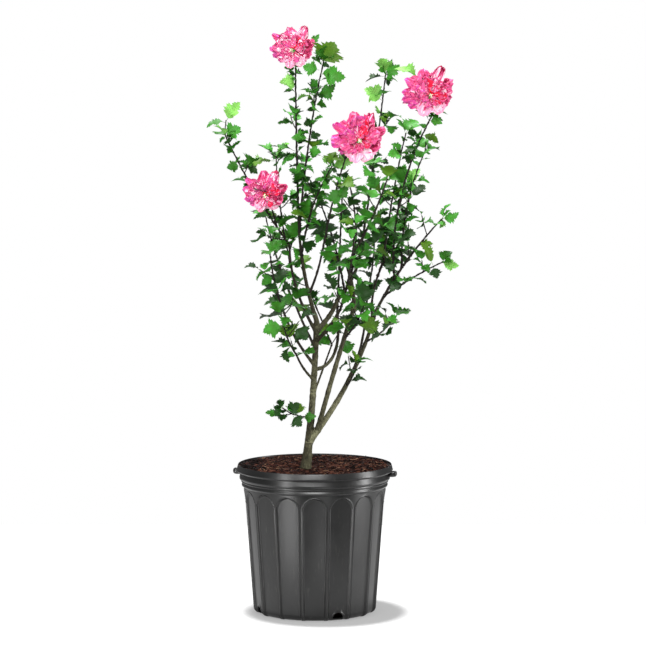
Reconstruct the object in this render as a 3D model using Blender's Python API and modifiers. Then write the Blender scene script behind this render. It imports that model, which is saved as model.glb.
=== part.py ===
# Potted rose of sharon: a young shrub with four double blooms in a black ribbed nursery pot.
# Metres, +Z up. The origin is the middle of the pot's flat underside, and the blooms face -Y.

import math
import random
from collections import namedtuple

import bmesh
import bpy
from mathutils import Matrix, Vector
from mathutils.bvhtree import BVHTree

# Clearance between neighbouring solids
GAP = 0.0003
WELD = 0.00001
UP = Vector((0, 0, 1))

# Pot: radii and heights of its turned wall
POT_HEIGHT = 0.266
LIP_RADIUS = 0.140
LIP_INNER_RADIUS = 0.1366
LIP_DROP = 0.0105
LIP_EDGE = 0.0010
LIP_FALL = 0.0025
SKIRT_RADIUS = 0.1333
SKIRT_FOOT = 0.240
BEAD_RADIUS = 0.1294
BEAD_TOP = 0.237
BEAD_MIDDLE = 0.2335
BEAD_FOOT = 0.2295
EASE = 0.0008
WALL_TOP_RADIUS = 0.1268
WALL_TOP = 0.2255
WALL_FOOT_RADIUS = 0.1105
CORNER_RADIUS = 0.010
CORNER_STEPS = 3
WALL = 0.0036
SHELF_TOP = 0.2455
POT_SEGMENTS = 48

# Pot: sixteen arched flutes, two lugs and four drain notches
FLUTES = 16
FLUTE_TOP_WIDTH = 0.0395
FLUTE_FOOT_WIDTH = 0.0350
FLUTE_SPRING = 0.196
FLUTE_FOOT = 0.008
FLUTE_DEPTH = 0.0024
FLUTE_CUTTER = 0.006
ARCH_STEPS = 8
ARCH_RISE = 0.9
LUG_TURN = math.radians(-8)
LUG_REACH = 0.149
LUG_WIDTH = 0.013
LUG_HEIGHT = 0.011
LUG_MIDDLE = 0.2505
LUG_CORNER = 0.004
NOTCHES = 4
NOTCH_FIRST = math.radians(-67.5)
NOTCH_RADIUS = 0.0085
NOTCH_MIDDLE = 0.005
NOTCH_LENGTH = 0.016

# Potting mix: filled to just under the lip
MIX_TOP = 0.2625
# The mix slopes up behind the drain notches, which stay open
MIX_SLOPE_IN = 0.020
MIX_SLOPE_UP = 0.030

# Trunk
TRUNK_FOOT = Vector((-0.016, -0.052, MIX_TOP + GAP))
TRUNK_BURY = 0.012
STOUT_RADIUS = 0.004
FLARE = 0.0020
FLARE_SHARE = 0.05
TRUNK_TAPER = 3

# How long the straight spans of a limb's line are
TRUNK_SPANS = 14
BOUGH_SPAN = 0.022
SHOOT_SPAN = 0.036
LEAST_SPANS = 4

# Leaves: a lobed blade stands as a kite, widest a little below its middle
LEAF_WIDTH = 0.74
LEAF_WIDEST = 0.46
LEAF_THICKNESS = 0.0012
LEAF_ROOT = 0.22
LEAF_MARGIN = 0.0007
LEAF_TURNS = (0, 38, -38, 75, -75, 120)
LEAF_STEP = math.radians(137.5)
LEAF_FOLD = 0.10
LEAF_DROOP = 0.16
LEAF_BITE = 0.001

# How leaves stand on a twig: lift and roll in degrees, how far the blade leans along the
# twig, and how far its face turns outwards and back
LEAF_LIFT = (-22, 38)
LEAF_ROLL = (-40, 40)
LEAF_LEAN = 0.25
LEAF_OUTWARD = 0.35
LEAF_BACK = 0.10

# Leaves spread in size, shrink along the shoot, and stop just short of its end
LEAF_SPREAD = (0.84, 1.12)
LEAF_FIRST = 1.08
LEAF_SHRINK = 0.38
LEAVES_END = 0.97
# Two leaves at a shoot's tip: turn about it, and size
TIP_LEAVES = ((0.5, 0.95), (2.9, 0.80))
TIP_LEAN = 0.9

# Spurs: short side twigs with a leaf at the end and one on either hand
SPUR_RADIUS = 0.0010
SPUR_TAPER = 0.8
SPUR_LENGTHS = (0.024, 0.044)
SPUR_FIRST = 1.1
SPUR_SHRINK = 0.4
SPURS_END = 0.85
SPUR_LEAN = 0.55
SPUR_LIFT = 0.25
HAND_SHARE = 0.62
HAND_TURN = 1.5
HAND_SIZE = 0.85

# Twigs are three-sided, and this keeps their girth
TRIANGLE_GIRTH = 1.25
SEAT_STEP = 0.0002
SEAT_TRIES = 20

# Edges sharper than these stay crisp when a solid is shaded smooth
POT_EDGE = math.radians(35)
BARK_EDGE = math.radians(60)

# A limb starts on its parent at a share of the parent's length, and reaches its tip
# along a curve whose middle stands off the straight line by its bow
Limb = namedtuple("Limb", "name parent share tip bow radius tip_radius")

BOUGHS = (
    Limb(
        "trunk", None, 0,
        tip=(0.003, -0.010, 0.516), bow=(0.003, 0, 0), radius=0.0092, tip_radius=0.0052,
    ),
    Limb(
        "right_bough", "trunk", 0.19,
        tip=(0.108, 0.000, 0.535), bow=(0.011, 0, -0.006), radius=0.0058, tip_radius=0.0029,
    ),
    Limb(
        "right_high_bough", "right_bough", 1,
        tip=(0.158, 0.000, 0.622), bow=(-0.004, 0, -0.003), radius=0.0028, tip_radius=0.0021,
    ),
    Limb(
        "far_bough", "right_bough", 0.94,
        tip=(0.122, 0.050, 0.620), bow=(-0.008, 0.004, 0), radius=0.0025, tip_radius=0.0018,
    ),
    Limb(
        "back_right_bough", "right_bough", 0.52,
        tip=(0.095, 0.085, 0.560), bow=(0.006, 0.010, -0.010), radius=0.0027, tip_radius=0.0019,
    ),
    Limb(
        "mid_bough", "right_bough", 0.10,
        tip=(0.067, -0.070, 0.545), bow=(-0.002, -0.010, 0), radius=0.0046, tip_radius=0.0038,
    ),
    Limb(
        "mid_high_bough", "mid_bough", 1,
        tip=(0.058, -0.072, 0.622), bow=(0.003, 0, 0), radius=0.0036, tip_radius=0.0026,
    ),
    Limb(
        "fork_bough", "trunk", 0.96,
        tip=(0.040, 0.022, 0.556), bow=(0.003, 0, -0.002), radius=0.0044, tip_radius=0.0034,
    ),
    Limb(
        "fork_high_bough", "fork_bough", 1,
        tip=(0.085, 0.052, 0.662), bow=(0.008, 0, -0.006), radius=0.0031, tip_radius=0.0022,
    ),
    Limb(
        "front_bough", "trunk", 0.89,
        tip=(0.044, -0.062, 0.547), bow=(0.003, -0.004, -0.002), radius=0.0036, tip_radius=0.0027,
    ),
    Limb(
        "back_bough", "trunk", 0.69,
        tip=(0.041, 0.080, 0.530), bow=(0.015, 0.004, -0.022), radius=0.0032, tip_radius=0.0023,
    ),
    Limb(
        "thin_back_bough", "trunk", 0.50,
        tip=(0.030, 0.085, 0.470), bow=(-0.002, 0.004, -0.006), radius=0.0021, tip_radius=0.0016,
    ),
    Limb(
        "left_low_bough", "trunk", 0.62,
        tip=(-0.031, -0.082, 0.468), bow=(-0.002, -0.003, -0.002), radius=0.0024, tip_radius=0.0018,
    ),
    Limb(
        "left_bough", "trunk", 0.72,
        tip=(-0.052, -0.050, 0.536), bow=(-0.005, -0.002, 0), radius=0.0028, tip_radius=0.0021,
    ),
    Limb(
        "left_back_bough", "trunk", 0.84,
        tip=(-0.034, 0.048, 0.545), bow=(0, 0.004, -0.003), radius=0.0026, tip_radius=0.0019,
    ),
    Limb(
        "crown_bough", "trunk", 1,
        tip=(-0.028, 0.000, 0.694), bow=(-0.006, -0.004, 0), radius=0.0040, tip_radius=0.0022,
    ),
    Limb(
        "left_high_bough", "trunk", 0.95,
        tip=(-0.045, 0.020, 0.653), bow=(-0.011, 0.008, 0), radius=0.0029, tip_radius=0.0020,
    ),
    Limb(
        "centre_bough", "crown_bough", 0.36,
        tip=(0.014, -0.048, 0.652), bow=(0.002, -0.004, -0.002), radius=0.0024, tip_radius=0.0018,
    ),
)

# A shoot is a limb whose leaves grow from a share of its own length up: how many joints
# bear them, every how many joints comes a spur, and how long a leaf is
Shoot = namedtuple("Shoot", "name parent share tip bow radius tip_radius leafy joints spurs leaf seed")

SHOOTS = (
    Shoot(
        "top_shoot", "crown_bough", 1, tip=(-0.034, 0.004, 0.972), bow=(-0.001, 0.006, 0),
        radius=0.0021, tip_radius=0.0013, leafy=0.08, joints=12, spurs=3, leaf=0.046, seed=1,
    ),
    Shoot(
        "second_top_shoot", "crown_bough", 0.93, tip=(0.016, -0.036, 0.985), bow=(-0.006, 0.006, 0),
        radius=0.0019, tip_radius=0.0011, leafy=0.12, joints=11, spurs=3, leaf=0.048, seed=2,
    ),
    Shoot(
        "inner_shoot", "crown_bough", 0.72, tip=(0.030, -0.062, 0.800), bow=(-0.008, -0.006, 0.004),
        radius=0.0019, tip_radius=0.0011, leafy=0.15, joints=8, spurs=3, leaf=0.052, seed=3,
    ),
    Shoot(
        "centre_shoot", "centre_bough", 1, tip=(0.054, -0.082, 0.815), bow=(-0.003, -0.003, 0),
        radius=0.0018, tip_radius=0.0013, leafy=0.06, joints=8, spurs=2, leaf=0.054, seed=4,
    ),
    Shoot(
        "bent_shoot", "mid_high_bough", 0.80, tip=(0.062, -0.035, 0.765), bow=(0.010, 0.010, 0),
        radius=0.0020, tip_radius=0.0012, leafy=0.08, joints=8, spurs=2, leaf=0.052, seed=5,
    ),
    Shoot(
        "mid_shoot", "mid_high_bough", 1, tip=(0.128, -0.052, 0.778), bow=(0.004, -0.006, -0.002),
        radius=0.0024, tip_radius=0.0013, leafy=0.10, joints=8, spurs=2, leaf=0.055, seed=6,
    ),
    Shoot(
        "tall_back_shoot", "fork_high_bough", 1, tip=(0.128, 0.100, 0.962), bow=(0.002, 0.004, 0),
        radius=0.0021, tip_radius=0.0011, leafy=0.05, joints=11, spurs=3, leaf=0.050, seed=7,
    ),
    Shoot(
        "fork_side_shoot", "fork_high_bough", 0.30, tip=(0.002, 0.072, 0.750), bow=(0.006, 0.006, 0),
        radius=0.0020, tip_radius=0.0012, leafy=0.15, joints=7, spurs=2, leaf=0.056, seed=8,
    ),
    Shoot(
        "front_shoot", "front_bough", 1, tip=(0.070, -0.135, 0.700), bow=(0.004, -0.010, -0.004),
        radius=0.0022, tip_radius=0.0012, leafy=0.08, joints=8, spurs=2, leaf=0.058, seed=9,
    ),
    Shoot(
        "back_shoot", "back_bough", 1, tip=(0.050, 0.150, 0.745), bow=(0, 0.008, 0),
        radius=0.0021, tip_radius=0.0012, leafy=0.05, joints=9, spurs=2, leaf=0.056, seed=10,
    ),
    Shoot(
        "low_back_shoot", "thin_back_bough", 1, tip=(-0.025, 0.135, 0.610), bow=(0, 0.006, -0.004),
        radius=0.0015, tip_radius=0.0011, leafy=0.05, joints=7, spurs=2, leaf=0.054, seed=11,
    ),
    Shoot(
        "left_low_shoot", "left_low_bough", 1, tip=(-0.058, -0.125, 0.545), bow=(-0.003, -0.004, -0.004),
        radius=0.0017, tip_radius=0.0011, leafy=0.05, joints=6, spurs=2, leaf=0.054, seed=12,
    ),
    Shoot(
        "left_shoot", "left_bough", 1, tip=(-0.078, -0.075, 0.648), bow=(-0.004, 0, 0),
        radius=0.0019, tip_radius=0.0012, leafy=0.02, joints=8, spurs=2, leaf=0.057, seed=13,
    ),
    Shoot(
        "left_back_shoot", "left_back_bough", 1, tip=(-0.090, 0.120, 0.705), bow=(-0.004, 0.006, -0.004),
        radius=0.0018, tip_radius=0.0011, leafy=0.05, joints=8, spurs=2, leaf=0.056, seed=14,
    ),
    Shoot(
        "left_tall_shoot", "left_high_bough", 1, tip=(-0.158, 0.002, 0.852), bow=(-0.006, -0.004, 0),
        radius=0.0019, tip_radius=0.0011, leafy=0.10, joints=11, spurs=3, leaf=0.048, seed=15,
    ),
    Shoot(
        "left_inner_shoot", "left_high_bough", 0.55,
        tip=(-0.070, 0.070, 0.815), bow=(-0.006, 0.010, -0.004),
        radius=0.0018, tip_radius=0.0011, leafy=0.12, joints=8, spurs=3, leaf=0.052, seed=16,
    ),
    Shoot(
        "right_shoot", "right_high_bough", 1, tip=(0.228, 0.004, 0.706), bow=(0.004, 0, 0.008),
        radius=0.0020, tip_radius=0.0011, leafy=0.10, joints=6, spurs=2, leaf=0.050, seed=17,
    ),
    Shoot(
        "right_thin_shoot", "right_high_bough", 0.96, tip=(0.199, 0.070, 0.826), bow=(-0.012, 0.004, 0),
        radius=0.0018, tip_radius=0.0010, leafy=0.12, joints=8, spurs=3, leaf=0.046, seed=18,
    ),
    Shoot(
        "right_low_shoot", "right_high_bough", 0.50, tip=(0.226, -0.078, 0.634), bow=(0.004, -0.002, 0.005),
        radius=0.0019, tip_radius=0.0011, leafy=0.12, joints=6, spurs=2, leaf=0.050, seed=19,
    ),
    Shoot(
        "right_front_shoot", "right_high_bough", 0.78, tip=(0.206, -0.036, 0.888), bow=(-0.022, -0.004, 0),
        radius=0.0020, tip_radius=0.0013, leafy=0.10, joints=11, spurs=3, leaf=0.050, seed=20,
    ),
    Shoot(
        "right_inner_shoot", "far_bough", 1, tip=(0.163, 0.048, 0.856), bow=(-0.004, -0.010, 0),
        radius=0.0018, tip_radius=0.0011, leafy=0.05, joints=9, spurs=3, leaf=0.050, seed=21,
    ),
    Shoot(
        "far_shoot", "far_bough", 0.80, tip=(0.165, 0.125, 0.760), bow=(0, 0.006, -0.004),
        radius=0.0017, tip_radius=0.0010, leafy=0.10, joints=6, spurs=3, leaf=0.052, seed=22,
    ),
    Shoot(
        "back_right_shoot", "back_right_bough", 1, tip=(0.110, 0.160, 0.700), bow=(0.004, 0.008, -0.004),
        radius=0.0018, tip_radius=0.0011, leafy=0.05, joints=7, spurs=2, leaf=0.056, seed=23,
    ),
    Shoot(
        "right_low_spur", "right_bough", 0.46, tip=(0.074, -0.052, 0.452), bow=(0.002, -0.004, -0.003),
        radius=0.0015, tip_radius=0.0010, leafy=0.25, joints=4, spurs=2, leaf=0.044, seed=25,
    ),
    Shoot(
        "right_high_spur", "right_bough", 0.80, tip=(0.142, -0.040, 0.536), bow=(0.004, -0.004, -0.004),
        radius=0.0016, tip_radius=0.0010, leafy=0.20, joints=5, spurs=2, leaf=0.050, seed=26,
    ),
    Shoot(
        "mid_spur", "mid_bough", 0.78, tip=(0.086, -0.118, 0.560), bow=(0.002, -0.004, -0.004),
        radius=0.0017, tip_radius=0.0010, leafy=0.15, joints=6, spurs=2, leaf=0.052, seed=27,
    ),
    Shoot(
        "low_sprig", "trunk", 0.36, tip=(-0.056, -0.096, 0.378), bow=(-0.004, -0.004, -0.003),
        radius=0.0014, tip_radius=0.0010, leafy=0.40, joints=4, spurs=2, leaf=0.032, seed=24,
    ),
)

# A bloom stands on a flowering twig: parent, share, middle of the flower, which way it faces,
# width, and how far its lobes are turned
Bloom = namedtuple("Bloom", "name parent share middle facing width turn")

BLOOMS = (
    Bloom("top_bloom", "top_shoot", 1, (-0.043, -0.024, 1.008), (-0.15, -1, 0.15), 0.078, 0.3),
    Bloom("centre_bloom", "centre_shoot", 1, (0.073, -0.125, 0.852), (0.05, -1, 0.20), 0.094, 1.1),
    Bloom("right_bloom", "right_front_shoot", 1, (0.197, -0.078, 0.929), (0.10, -1, 0.15), 0.092, 2.0),
    Bloom("left_bloom", "left_tall_shoot", 0.28, (-0.091, -0.040, 0.753), (-0.10, -1, 0.10), 0.078, 2.7),
)
STALK_RADIUS = 0.0013
CALYX_LENGTH = 0.014
CALYX_RADIUS = 0.0065
CALYX_SEAT = 0.003
CALYX_FOOT = 1.6
STALK_SPANS = 4

# Petal rounds as shares of the bloom's width: reach, thickness and cup
OUTER_ROUND = (0.48, 0.09, 0.10)
INNER_ROUND = (0.33, 0.20, 0.14)
INNER_LIFT = 0.07
INNER_TURN = 0.6
OUTER_MESH = (18, 4)
INNER_MESH = (12, 5)
BLOOM_DEPTH = 0.16
LOBES = 5
LOBE = 0.09
FRILL = 0.04
RUFFLE = 0.0030

# Colours as sRGB, then roughness
PLASTIC = ("#191a1b", 0.42)
MIX = ("#43261d", 0.95)
BARK = ("#6b6a4a", 0.85)
LEAF = ("#3f7f2e", 0.55)
PETAL = ("#e8508a", 0.60)


def linear(channel):
    if channel <= 0.04045:
        return channel / 12.92
    return ((channel + 0.055) / 1.055) ** 2.4


def finish(obj, look):
    code, roughness = look
    colour = [linear(int(code[i : i + 2], 16) / 255) for i in (1, 3, 5)]
    material = bpy.data.materials.new(obj.name)
    material.use_nodes = True
    shader = material.node_tree.nodes["Principled BSDF"]
    shader.inputs["Base Color"].default_value = (*colour, 1)
    shader.inputs["Roughness"].default_value = roughness
    shader.inputs["Metallic"].default_value = 0
    material.diffuse_color = (*colour, 1)
    obj.data.materials.clear()
    obj.data.materials.append(material)


def clear_scene():
    for obj in list(bpy.data.objects):
        bpy.data.objects.remove(obj)


def new_collection(name):
    collection = bpy.data.collections.new(name)
    bpy.context.scene.collection.children.link(collection)
    return collection


def add_object(name, mesh, collection):
    obj = bpy.data.objects.new(name, mesh)
    collection.objects.link(obj)
    return obj


def hide_cutter(obj):
    obj.hide_render = True
    obj.display_type = "WIRE"


def evaluated_mesh(obj):
    bpy.context.view_layer.update()
    depsgraph = bpy.context.evaluated_depsgraph_get()
    return bpy.data.meshes.new_from_object(obj.evaluated_get(depsgraph))


def weld(mesh):
    shape = bmesh.new()
    shape.from_mesh(mesh)
    bmesh.ops.remove_doubles(shape, verts=shape.verts, dist=WELD)
    bmesh.ops.recalc_face_normals(shape, faces=shape.faces)
    shape.to_mesh(mesh)
    shape.free()
    return mesh


def boolean(obj, operation, collection):
    modifier = obj.modifiers.new(operation.lower(), "BOOLEAN")
    modifier.operation = operation
    modifier.operand_type = "COLLECTION"
    modifier.collection = collection
    return modifier


# Applies the boolean and removes the solids that it used
def apply_boolean(obj, operation, collection):
    modifier = boolean(obj, operation, collection)
    mesh = evaluated_mesh(obj)
    obj.modifiers.remove(modifier)
    obj.data = mesh
    for tool in list(collection.objects):
        bpy.data.objects.remove(tool)


def turned(name, profile, collection):
    mesh = bpy.data.meshes.new(name)
    edges = [(i, i + 1) for i in range(len(profile) - 1)]
    mesh.from_pydata([(r, 0, z) for r, z in profile], edges, [])
    obj = add_object(name, mesh, collection)
    screw = obj.modifiers.new("turn", "SCREW")
    screw.axis = "Z"
    screw.steps = POT_SEGMENTS
    screw.render_steps = POT_SEGMENTS
    screw.use_merge_vertices = True
    screw.merge_threshold = WELD
    return obj


def shade_round(mesh, edge):
    mesh.shade_smooth()
    mesh.set_sharp_from_angle(angle=edge)


# Radius of the pot's outer wall at a height
def wall_radius(z):
    share = (z - CORNER_RADIUS) / (WALL_TOP - CORNER_RADIUS)
    return WALL_FOOT_RADIUS + share * (WALL_TOP_RADIUS - WALL_FOOT_RADIUS)


# The rounded foot of the wall, from the wall down to the flat underside
def foot_corner():
    middle = wall_radius(CORNER_RADIUS) - CORNER_RADIUS
    arc = []
    for i in range(CORNER_STEPS + 1):
        angle = math.radians(90) * i / CORNER_STEPS
        across = middle + CORNER_RADIUS * math.cos(angle)
        arc.append((across, CORNER_RADIUS - CORNER_RADIUS * math.sin(angle)))
    return arc


# Profile of the space inside the pot, from the middle of the floor up to the lip
def inner_profile():
    foot = wall_radius(CORNER_RADIUS) - WALL
    inner_corner = CORNER_RADIUS - WALL
    return [
        (0, WALL),
        (foot - inner_corner, WALL),
        (foot, WALL + inner_corner),
        (WALL_TOP_RADIUS - WALL, WALL_TOP),
        (SKIRT_RADIUS - WALL - EASE, SHELF_TOP),
        (SKIRT_RADIUS - WALL, POT_HEIGHT - LIP_DROP - LIP_EDGE),
        (LIP_INNER_RADIUS, POT_HEIGHT - LIP_DROP / 2),
        (LIP_INNER_RADIUS, POT_HEIGHT - LIP_EDGE),
    ]


# Profile of the outside, from the lip down over its skirt and bead to the underside
def outer_profile():
    return [
        (LIP_INNER_RADIUS + LIP_EDGE, POT_HEIGHT),
        (LIP_RADIUS, POT_HEIGHT - LIP_FALL),
        (LIP_RADIUS, POT_HEIGHT - LIP_DROP),
        (SKIRT_RADIUS + EASE, POT_HEIGHT - LIP_DROP - LIP_FALL),
        (SKIRT_RADIUS, SKIRT_FOOT),
        (BEAD_RADIUS - EASE, BEAD_TOP),
        (BEAD_RADIUS, BEAD_MIDDLE),
        (BEAD_RADIUS - EASE / 2, BEAD_FOOT),
        (WALL_TOP_RADIUS, WALL_TOP),
        *foot_corner(),
        (0, 0),
    ]


# Cutter for one flute: a flat arched panel, tilted with the wall
def flute_cutter(name, angle, collection):
    half_top = FLUTE_TOP_WIDTH / 2
    half_foot = FLUTE_FOOT_WIDTH / 2
    height = FLUTE_SPRING - FLUTE_FOOT
    outline = [(half_foot, 0), (half_top, height)]
    for i in range(1, ARCH_STEPS):
        turn = math.pi * i / ARCH_STEPS
        rise = half_top * ARCH_RISE * math.sin(turn)
        outline.append((half_top * math.cos(turn), height + rise))
    outline += [(-half_top, height), (-half_foot, 0)]
    curve = bpy.data.curves.new(name, "CURVE")
    curve.dimensions = "2D"
    curve.fill_mode = "BOTH"
    curve.extrude = FLUTE_CUTTER
    spline = curve.splines.new("POLY")
    spline.points.add(len(outline) - 1)
    for point, (x, y) in zip(spline.points, outline):
        point.co = (x, y, 0, 1)
    spline.use_cyclic_u = True
    source = add_object(name + "_outline", curve, collection)
    mesh = weld(evaluated_mesh(source))
    bpy.data.objects.remove(source)
    lean = math.atan((wall_radius(FLUTE_SPRING) - wall_radius(FLUTE_FOOT)) / height)
    seat = wall_radius(FLUTE_FOOT) - FLUTE_DEPTH + FLUTE_CUTTER
    place = (
        Matrix.Rotation(angle, 4, "Z")
        @ Matrix.Translation((seat, 0, FLUTE_FOOT))
        @ Matrix.Rotation(lean, 4, "Y")
        @ Matrix.Rotation(math.radians(90), 4, "Z")
        @ Matrix.Rotation(math.radians(90), 4, "X")
    )
    mesh.transform(place)
    return add_object(name, mesh, collection)


def notch_cutter(name, angle, collection):
    shape = bmesh.new()
    bmesh.ops.create_cone(
        shape,
        cap_ends=True,
        segments=12,
        radius1=NOTCH_RADIUS,
        radius2=NOTCH_RADIUS,
        depth=NOTCH_LENGTH,
        matrix=Matrix.Rotation(angle, 4, "Z")
        @ Matrix.Translation((WALL_FOOT_RADIUS, 0, NOTCH_MIDDLE))
        @ Matrix.Rotation(math.radians(90), 4, "Y"),
    )
    mesh = bpy.data.meshes.new(name)
    shape.to_mesh(mesh)
    shape.free()
    return add_object(name, mesh, collection)


# A rounded knob on the skirt
def lug(name, angle, collection):
    inner = SKIRT_RADIUS - WALL / 2
    shape = bmesh.new()
    bmesh.ops.create_cube(shape, size=1)
    bmesh.ops.scale(shape, vec=(LUG_REACH - inner, LUG_WIDTH, LUG_HEIGHT), verts=shape.verts)
    upright = [e for e in shape.edges if abs((e.verts[0].co - e.verts[1].co).z) > LUG_HEIGHT / 2]
    outer = [e for e in upright if e.verts[0].co.x > 0]
    bmesh.ops.bevel(shape, geom=outer, offset=LUG_CORNER, segments=3, affect="EDGES", profile=0.5)
    mesh = bpy.data.meshes.new(name)
    shape.to_mesh(mesh)
    shape.free()
    mesh.transform(
        Matrix.Rotation(angle, 4, "Z") @ Matrix.Translation(((LUG_REACH + inner) / 2, 0, LUG_MIDDLE))
    )
    return add_object(name, mesh, collection)


def build_pot(parts, cutters):
    pot = turned("pot", inner_profile() + outer_profile(), parts)
    lugs = new_collection("lugs")
    for i in range(2):
        lug(f"lug_{i + 1}", LUG_TURN + math.pi * i, lugs)
    mesh = weld(evaluated_mesh(pot))
    pot.modifiers.clear()
    pot.data = mesh
    apply_boolean(pot, "UNION", lugs)
    bpy.data.collections.remove(lugs)
    front = math.radians(-90)
    for i in range(FLUTES):
        flute_cutter(f"flute_cutter_{i + 1}", front + math.tau * i / FLUTES, cutters)
    for i in range(NOTCHES):
        notch_cutter(f"notch_cutter_{i + 1}", NOTCH_FIRST + math.tau * i / NOTCHES, cutters)
    for cutter in cutters.objects:
        hide_cutter(cutter)
    boolean(pot, "DIFFERENCE", cutters)
    shade_round(pot.data, POT_EDGE)
    finish(pot, PLASTIC)


# Potting mix: the pot's inside with the clearance off, level at the top
def build_mix(parts):
    inside = inner_profile()
    foot = inside[2][0] - GAP
    floor = inside[0][1] + GAP
    upper = [(r - GAP, z + GAP) for r, z in inside[3:-1]]
    profile = [(0, MIX_TOP), (LIP_INNER_RADIUS - GAP, MIX_TOP), *reversed(upper)]
    profile += [(foot, MIX_SLOPE_UP), (foot - MIX_SLOPE_IN, floor), (0, floor)]
    mix = turned("potting_mix", profile, parts)
    mix.data = weld(evaluated_mesh(mix))
    mix.modifiers.clear()
    finish(mix, MIX)


def spans(foot, tip, span):
    return max(LEAST_SPANS, round((tip - foot).length / span))


# A limb's middle line: straight from foot to tip, plus a bow that is widest half-way
def curve_points(foot, tip, bow, count):
    points = []
    for i in range(count + 1):
        t = i / count
        points.append(foot.lerp(tip, t) + bow * (4 * t * (1 - t)))
    return points


def point_along(points, share):
    place = share * (len(points) - 1)
    i = min(int(place), len(points) - 2)
    return points[i].lerp(points[i + 1], place - i)


def heading_along(points, share):
    i = min(int(share * (len(points) - 1)), len(points) - 2)
    return (points[i + 1] - points[i]).normalized()


def radius_along(limb, share):
    return limb.radius + (limb.tip_radius - limb.radius) * share


# Where a limb starts: on past its parent's tip, or clear of its parent's side
def start_of(limb, routes, limbs):
    parent = routes[limb.parent]
    owner = limbs[limb.parent]
    tip = Vector(limb.tip)
    if limb.share == 1:
        ahead = heading_along(parent, 1)
        return [parent[-1] + ahead * GAP, parent[-1] + ahead * (GAP + 2 * limb.radius)]
    origin = point_along(parent, limb.share)
    heading = (tip + Vector(limb.bow) * 4 - origin).normalized()
    along = heading_along(parent, limb.share)
    angle = heading.angle(along)
    clear = radius_along(owner, limb.share) + GAP + limb.radius * TRIANGLE_GIRTH * math.cos(angle)
    return [origin + heading * (clear / math.sin(angle))]


def bough_route(limb, routes, limbs):
    tip = Vector(limb.tip)
    bow = Vector(limb.bow)
    if limb.parent is None:
        return curve_points(TRUNK_FOOT, tip, bow, TRUNK_SPANS)
    if limb.share == 1:
        lead = start_of(limb, routes, limbs)
    else:
        lead = [point_along(routes[limb.parent], limb.share)]
    return lead[:-1] + curve_points(lead[-1], tip, bow, spans(lead[-1], tip, BOUGH_SPAN))


def shoot_route(shoot, routes, limbs):
    lead = start_of(shoot, routes, limbs)
    tip = Vector(shoot.tip)
    count = spans(lead[-1], tip, SHOOT_SPAN)
    return lead[:-1] + curve_points(lead[-1], tip, Vector(shoot.bow), count)


def profile_triangle(collection):
    curve = bpy.data.curves.new("twig_profile", "CURVE")
    spline = curve.splines.new("POLY")
    spline.points.add(2)
    for i, point in enumerate(spline.points):
        angle = math.tau * i / 3
        point.co = (math.cos(angle), math.sin(angle), 0, 1)
    spline.use_cyclic_u = True
    return add_object("twig_profile", curve, collection)


# A tapering tube along points: round with 8 or 6 sides, or three-sided with a profile
def tube_mesh(name, points, radii, sides=8, profile=None):
    curve = bpy.data.curves.new(name, "CURVE")
    curve.dimensions = "3D"
    curve.use_fill_caps = True
    if profile:
        curve.bevel_mode = "OBJECT"
        curve.bevel_object = profile
    else:
        curve.bevel_depth = 1
        curve.bevel_resolution = (sides - 4) // 2
    spline = curve.splines.new("POLY")
    spline.points.add(len(points) - 1)
    for point, place, radius in zip(spline.points, points, radii):
        point.co = (*place, 1)
        point.radius = radius
    obj = add_object(name + "_line", curve, bpy.context.scene.collection)
    mesh = weld(evaluated_mesh(obj))
    bpy.data.objects.remove(obj)
    bpy.data.curves.remove(curve)
    return mesh


def tree_of(mesh):
    shape = bmesh.new()
    shape.from_mesh(mesh)
    tree = BVHTree.FromBMesh(shape)
    shape.free()
    return tree


# A solid that later pieces keep clear of, with its box for a quick first test
class Kept:
    def __init__(self, owner, mesh):
        self.owner = owner
        self.tree = tree_of(mesh)
        places = [v.co for v in mesh.vertices]
        self.low = Vector([min(p[i] for p in places) for i in range(3)])
        self.high = Vector([max(p[i] for p in places) for i in range(3)])

    def touches(self, other):
        if any(self.low[i] > other.high[i] or other.low[i] > self.high[i] for i in range(3)):
            return False
        return bool(self.tree.overlap(other.tree))


def bough_radii(limb, points, grow=0):
    radii = []
    last = len(points) - 1
    for i in range(len(points)):
        share = i / last
        if limb.parent is None:
            radius = limb.tip_radius + (limb.radius - limb.tip_radius) * (1 - share) ** TRUNK_TAPER
            radius += FLARE * math.exp(-share / FLARE_SHARE)
        else:
            radius = radius_along(limb, share)
        radii.append(radius + grow)
    return radii


def sides_of(limb):
    return 8 if limb.radius > STOUT_RADIUS else 6


# A copy of a limb that is thicker all round by the clearance
def grown_limb(limb, route):
    return tube_mesh("grown_" + limb.name, route, bough_radii(limb, route, GAP), sides_of(limb))


def longer(points, start, end):
    first = points[0] - (points[1] - points[0]).normalized() * start
    last = points[-1] + (points[-1] - points[-2]).normalized() * end
    return [first, *points[1:-1], last]


def cut_level(mesh, height):
    shape = bmesh.new()
    shape.from_mesh(mesh)
    geometry = [*shape.verts, *shape.edges, *shape.faces]
    cut = bmesh.ops.bisect_plane(
        shape, geom=geometry, plane_co=(0, 0, height), plane_no=(0, 0, 1), clear_inner=True
    )
    rim = [e for e in cut["geom_cut"] if isinstance(e, bmesh.types.BMEdge)]
    bmesh.ops.holes_fill(shape, edges=rim)
    bmesh.ops.recalc_face_normals(shape, faces=shape.faces)
    shape.to_mesh(mesh)
    shape.free()


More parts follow.
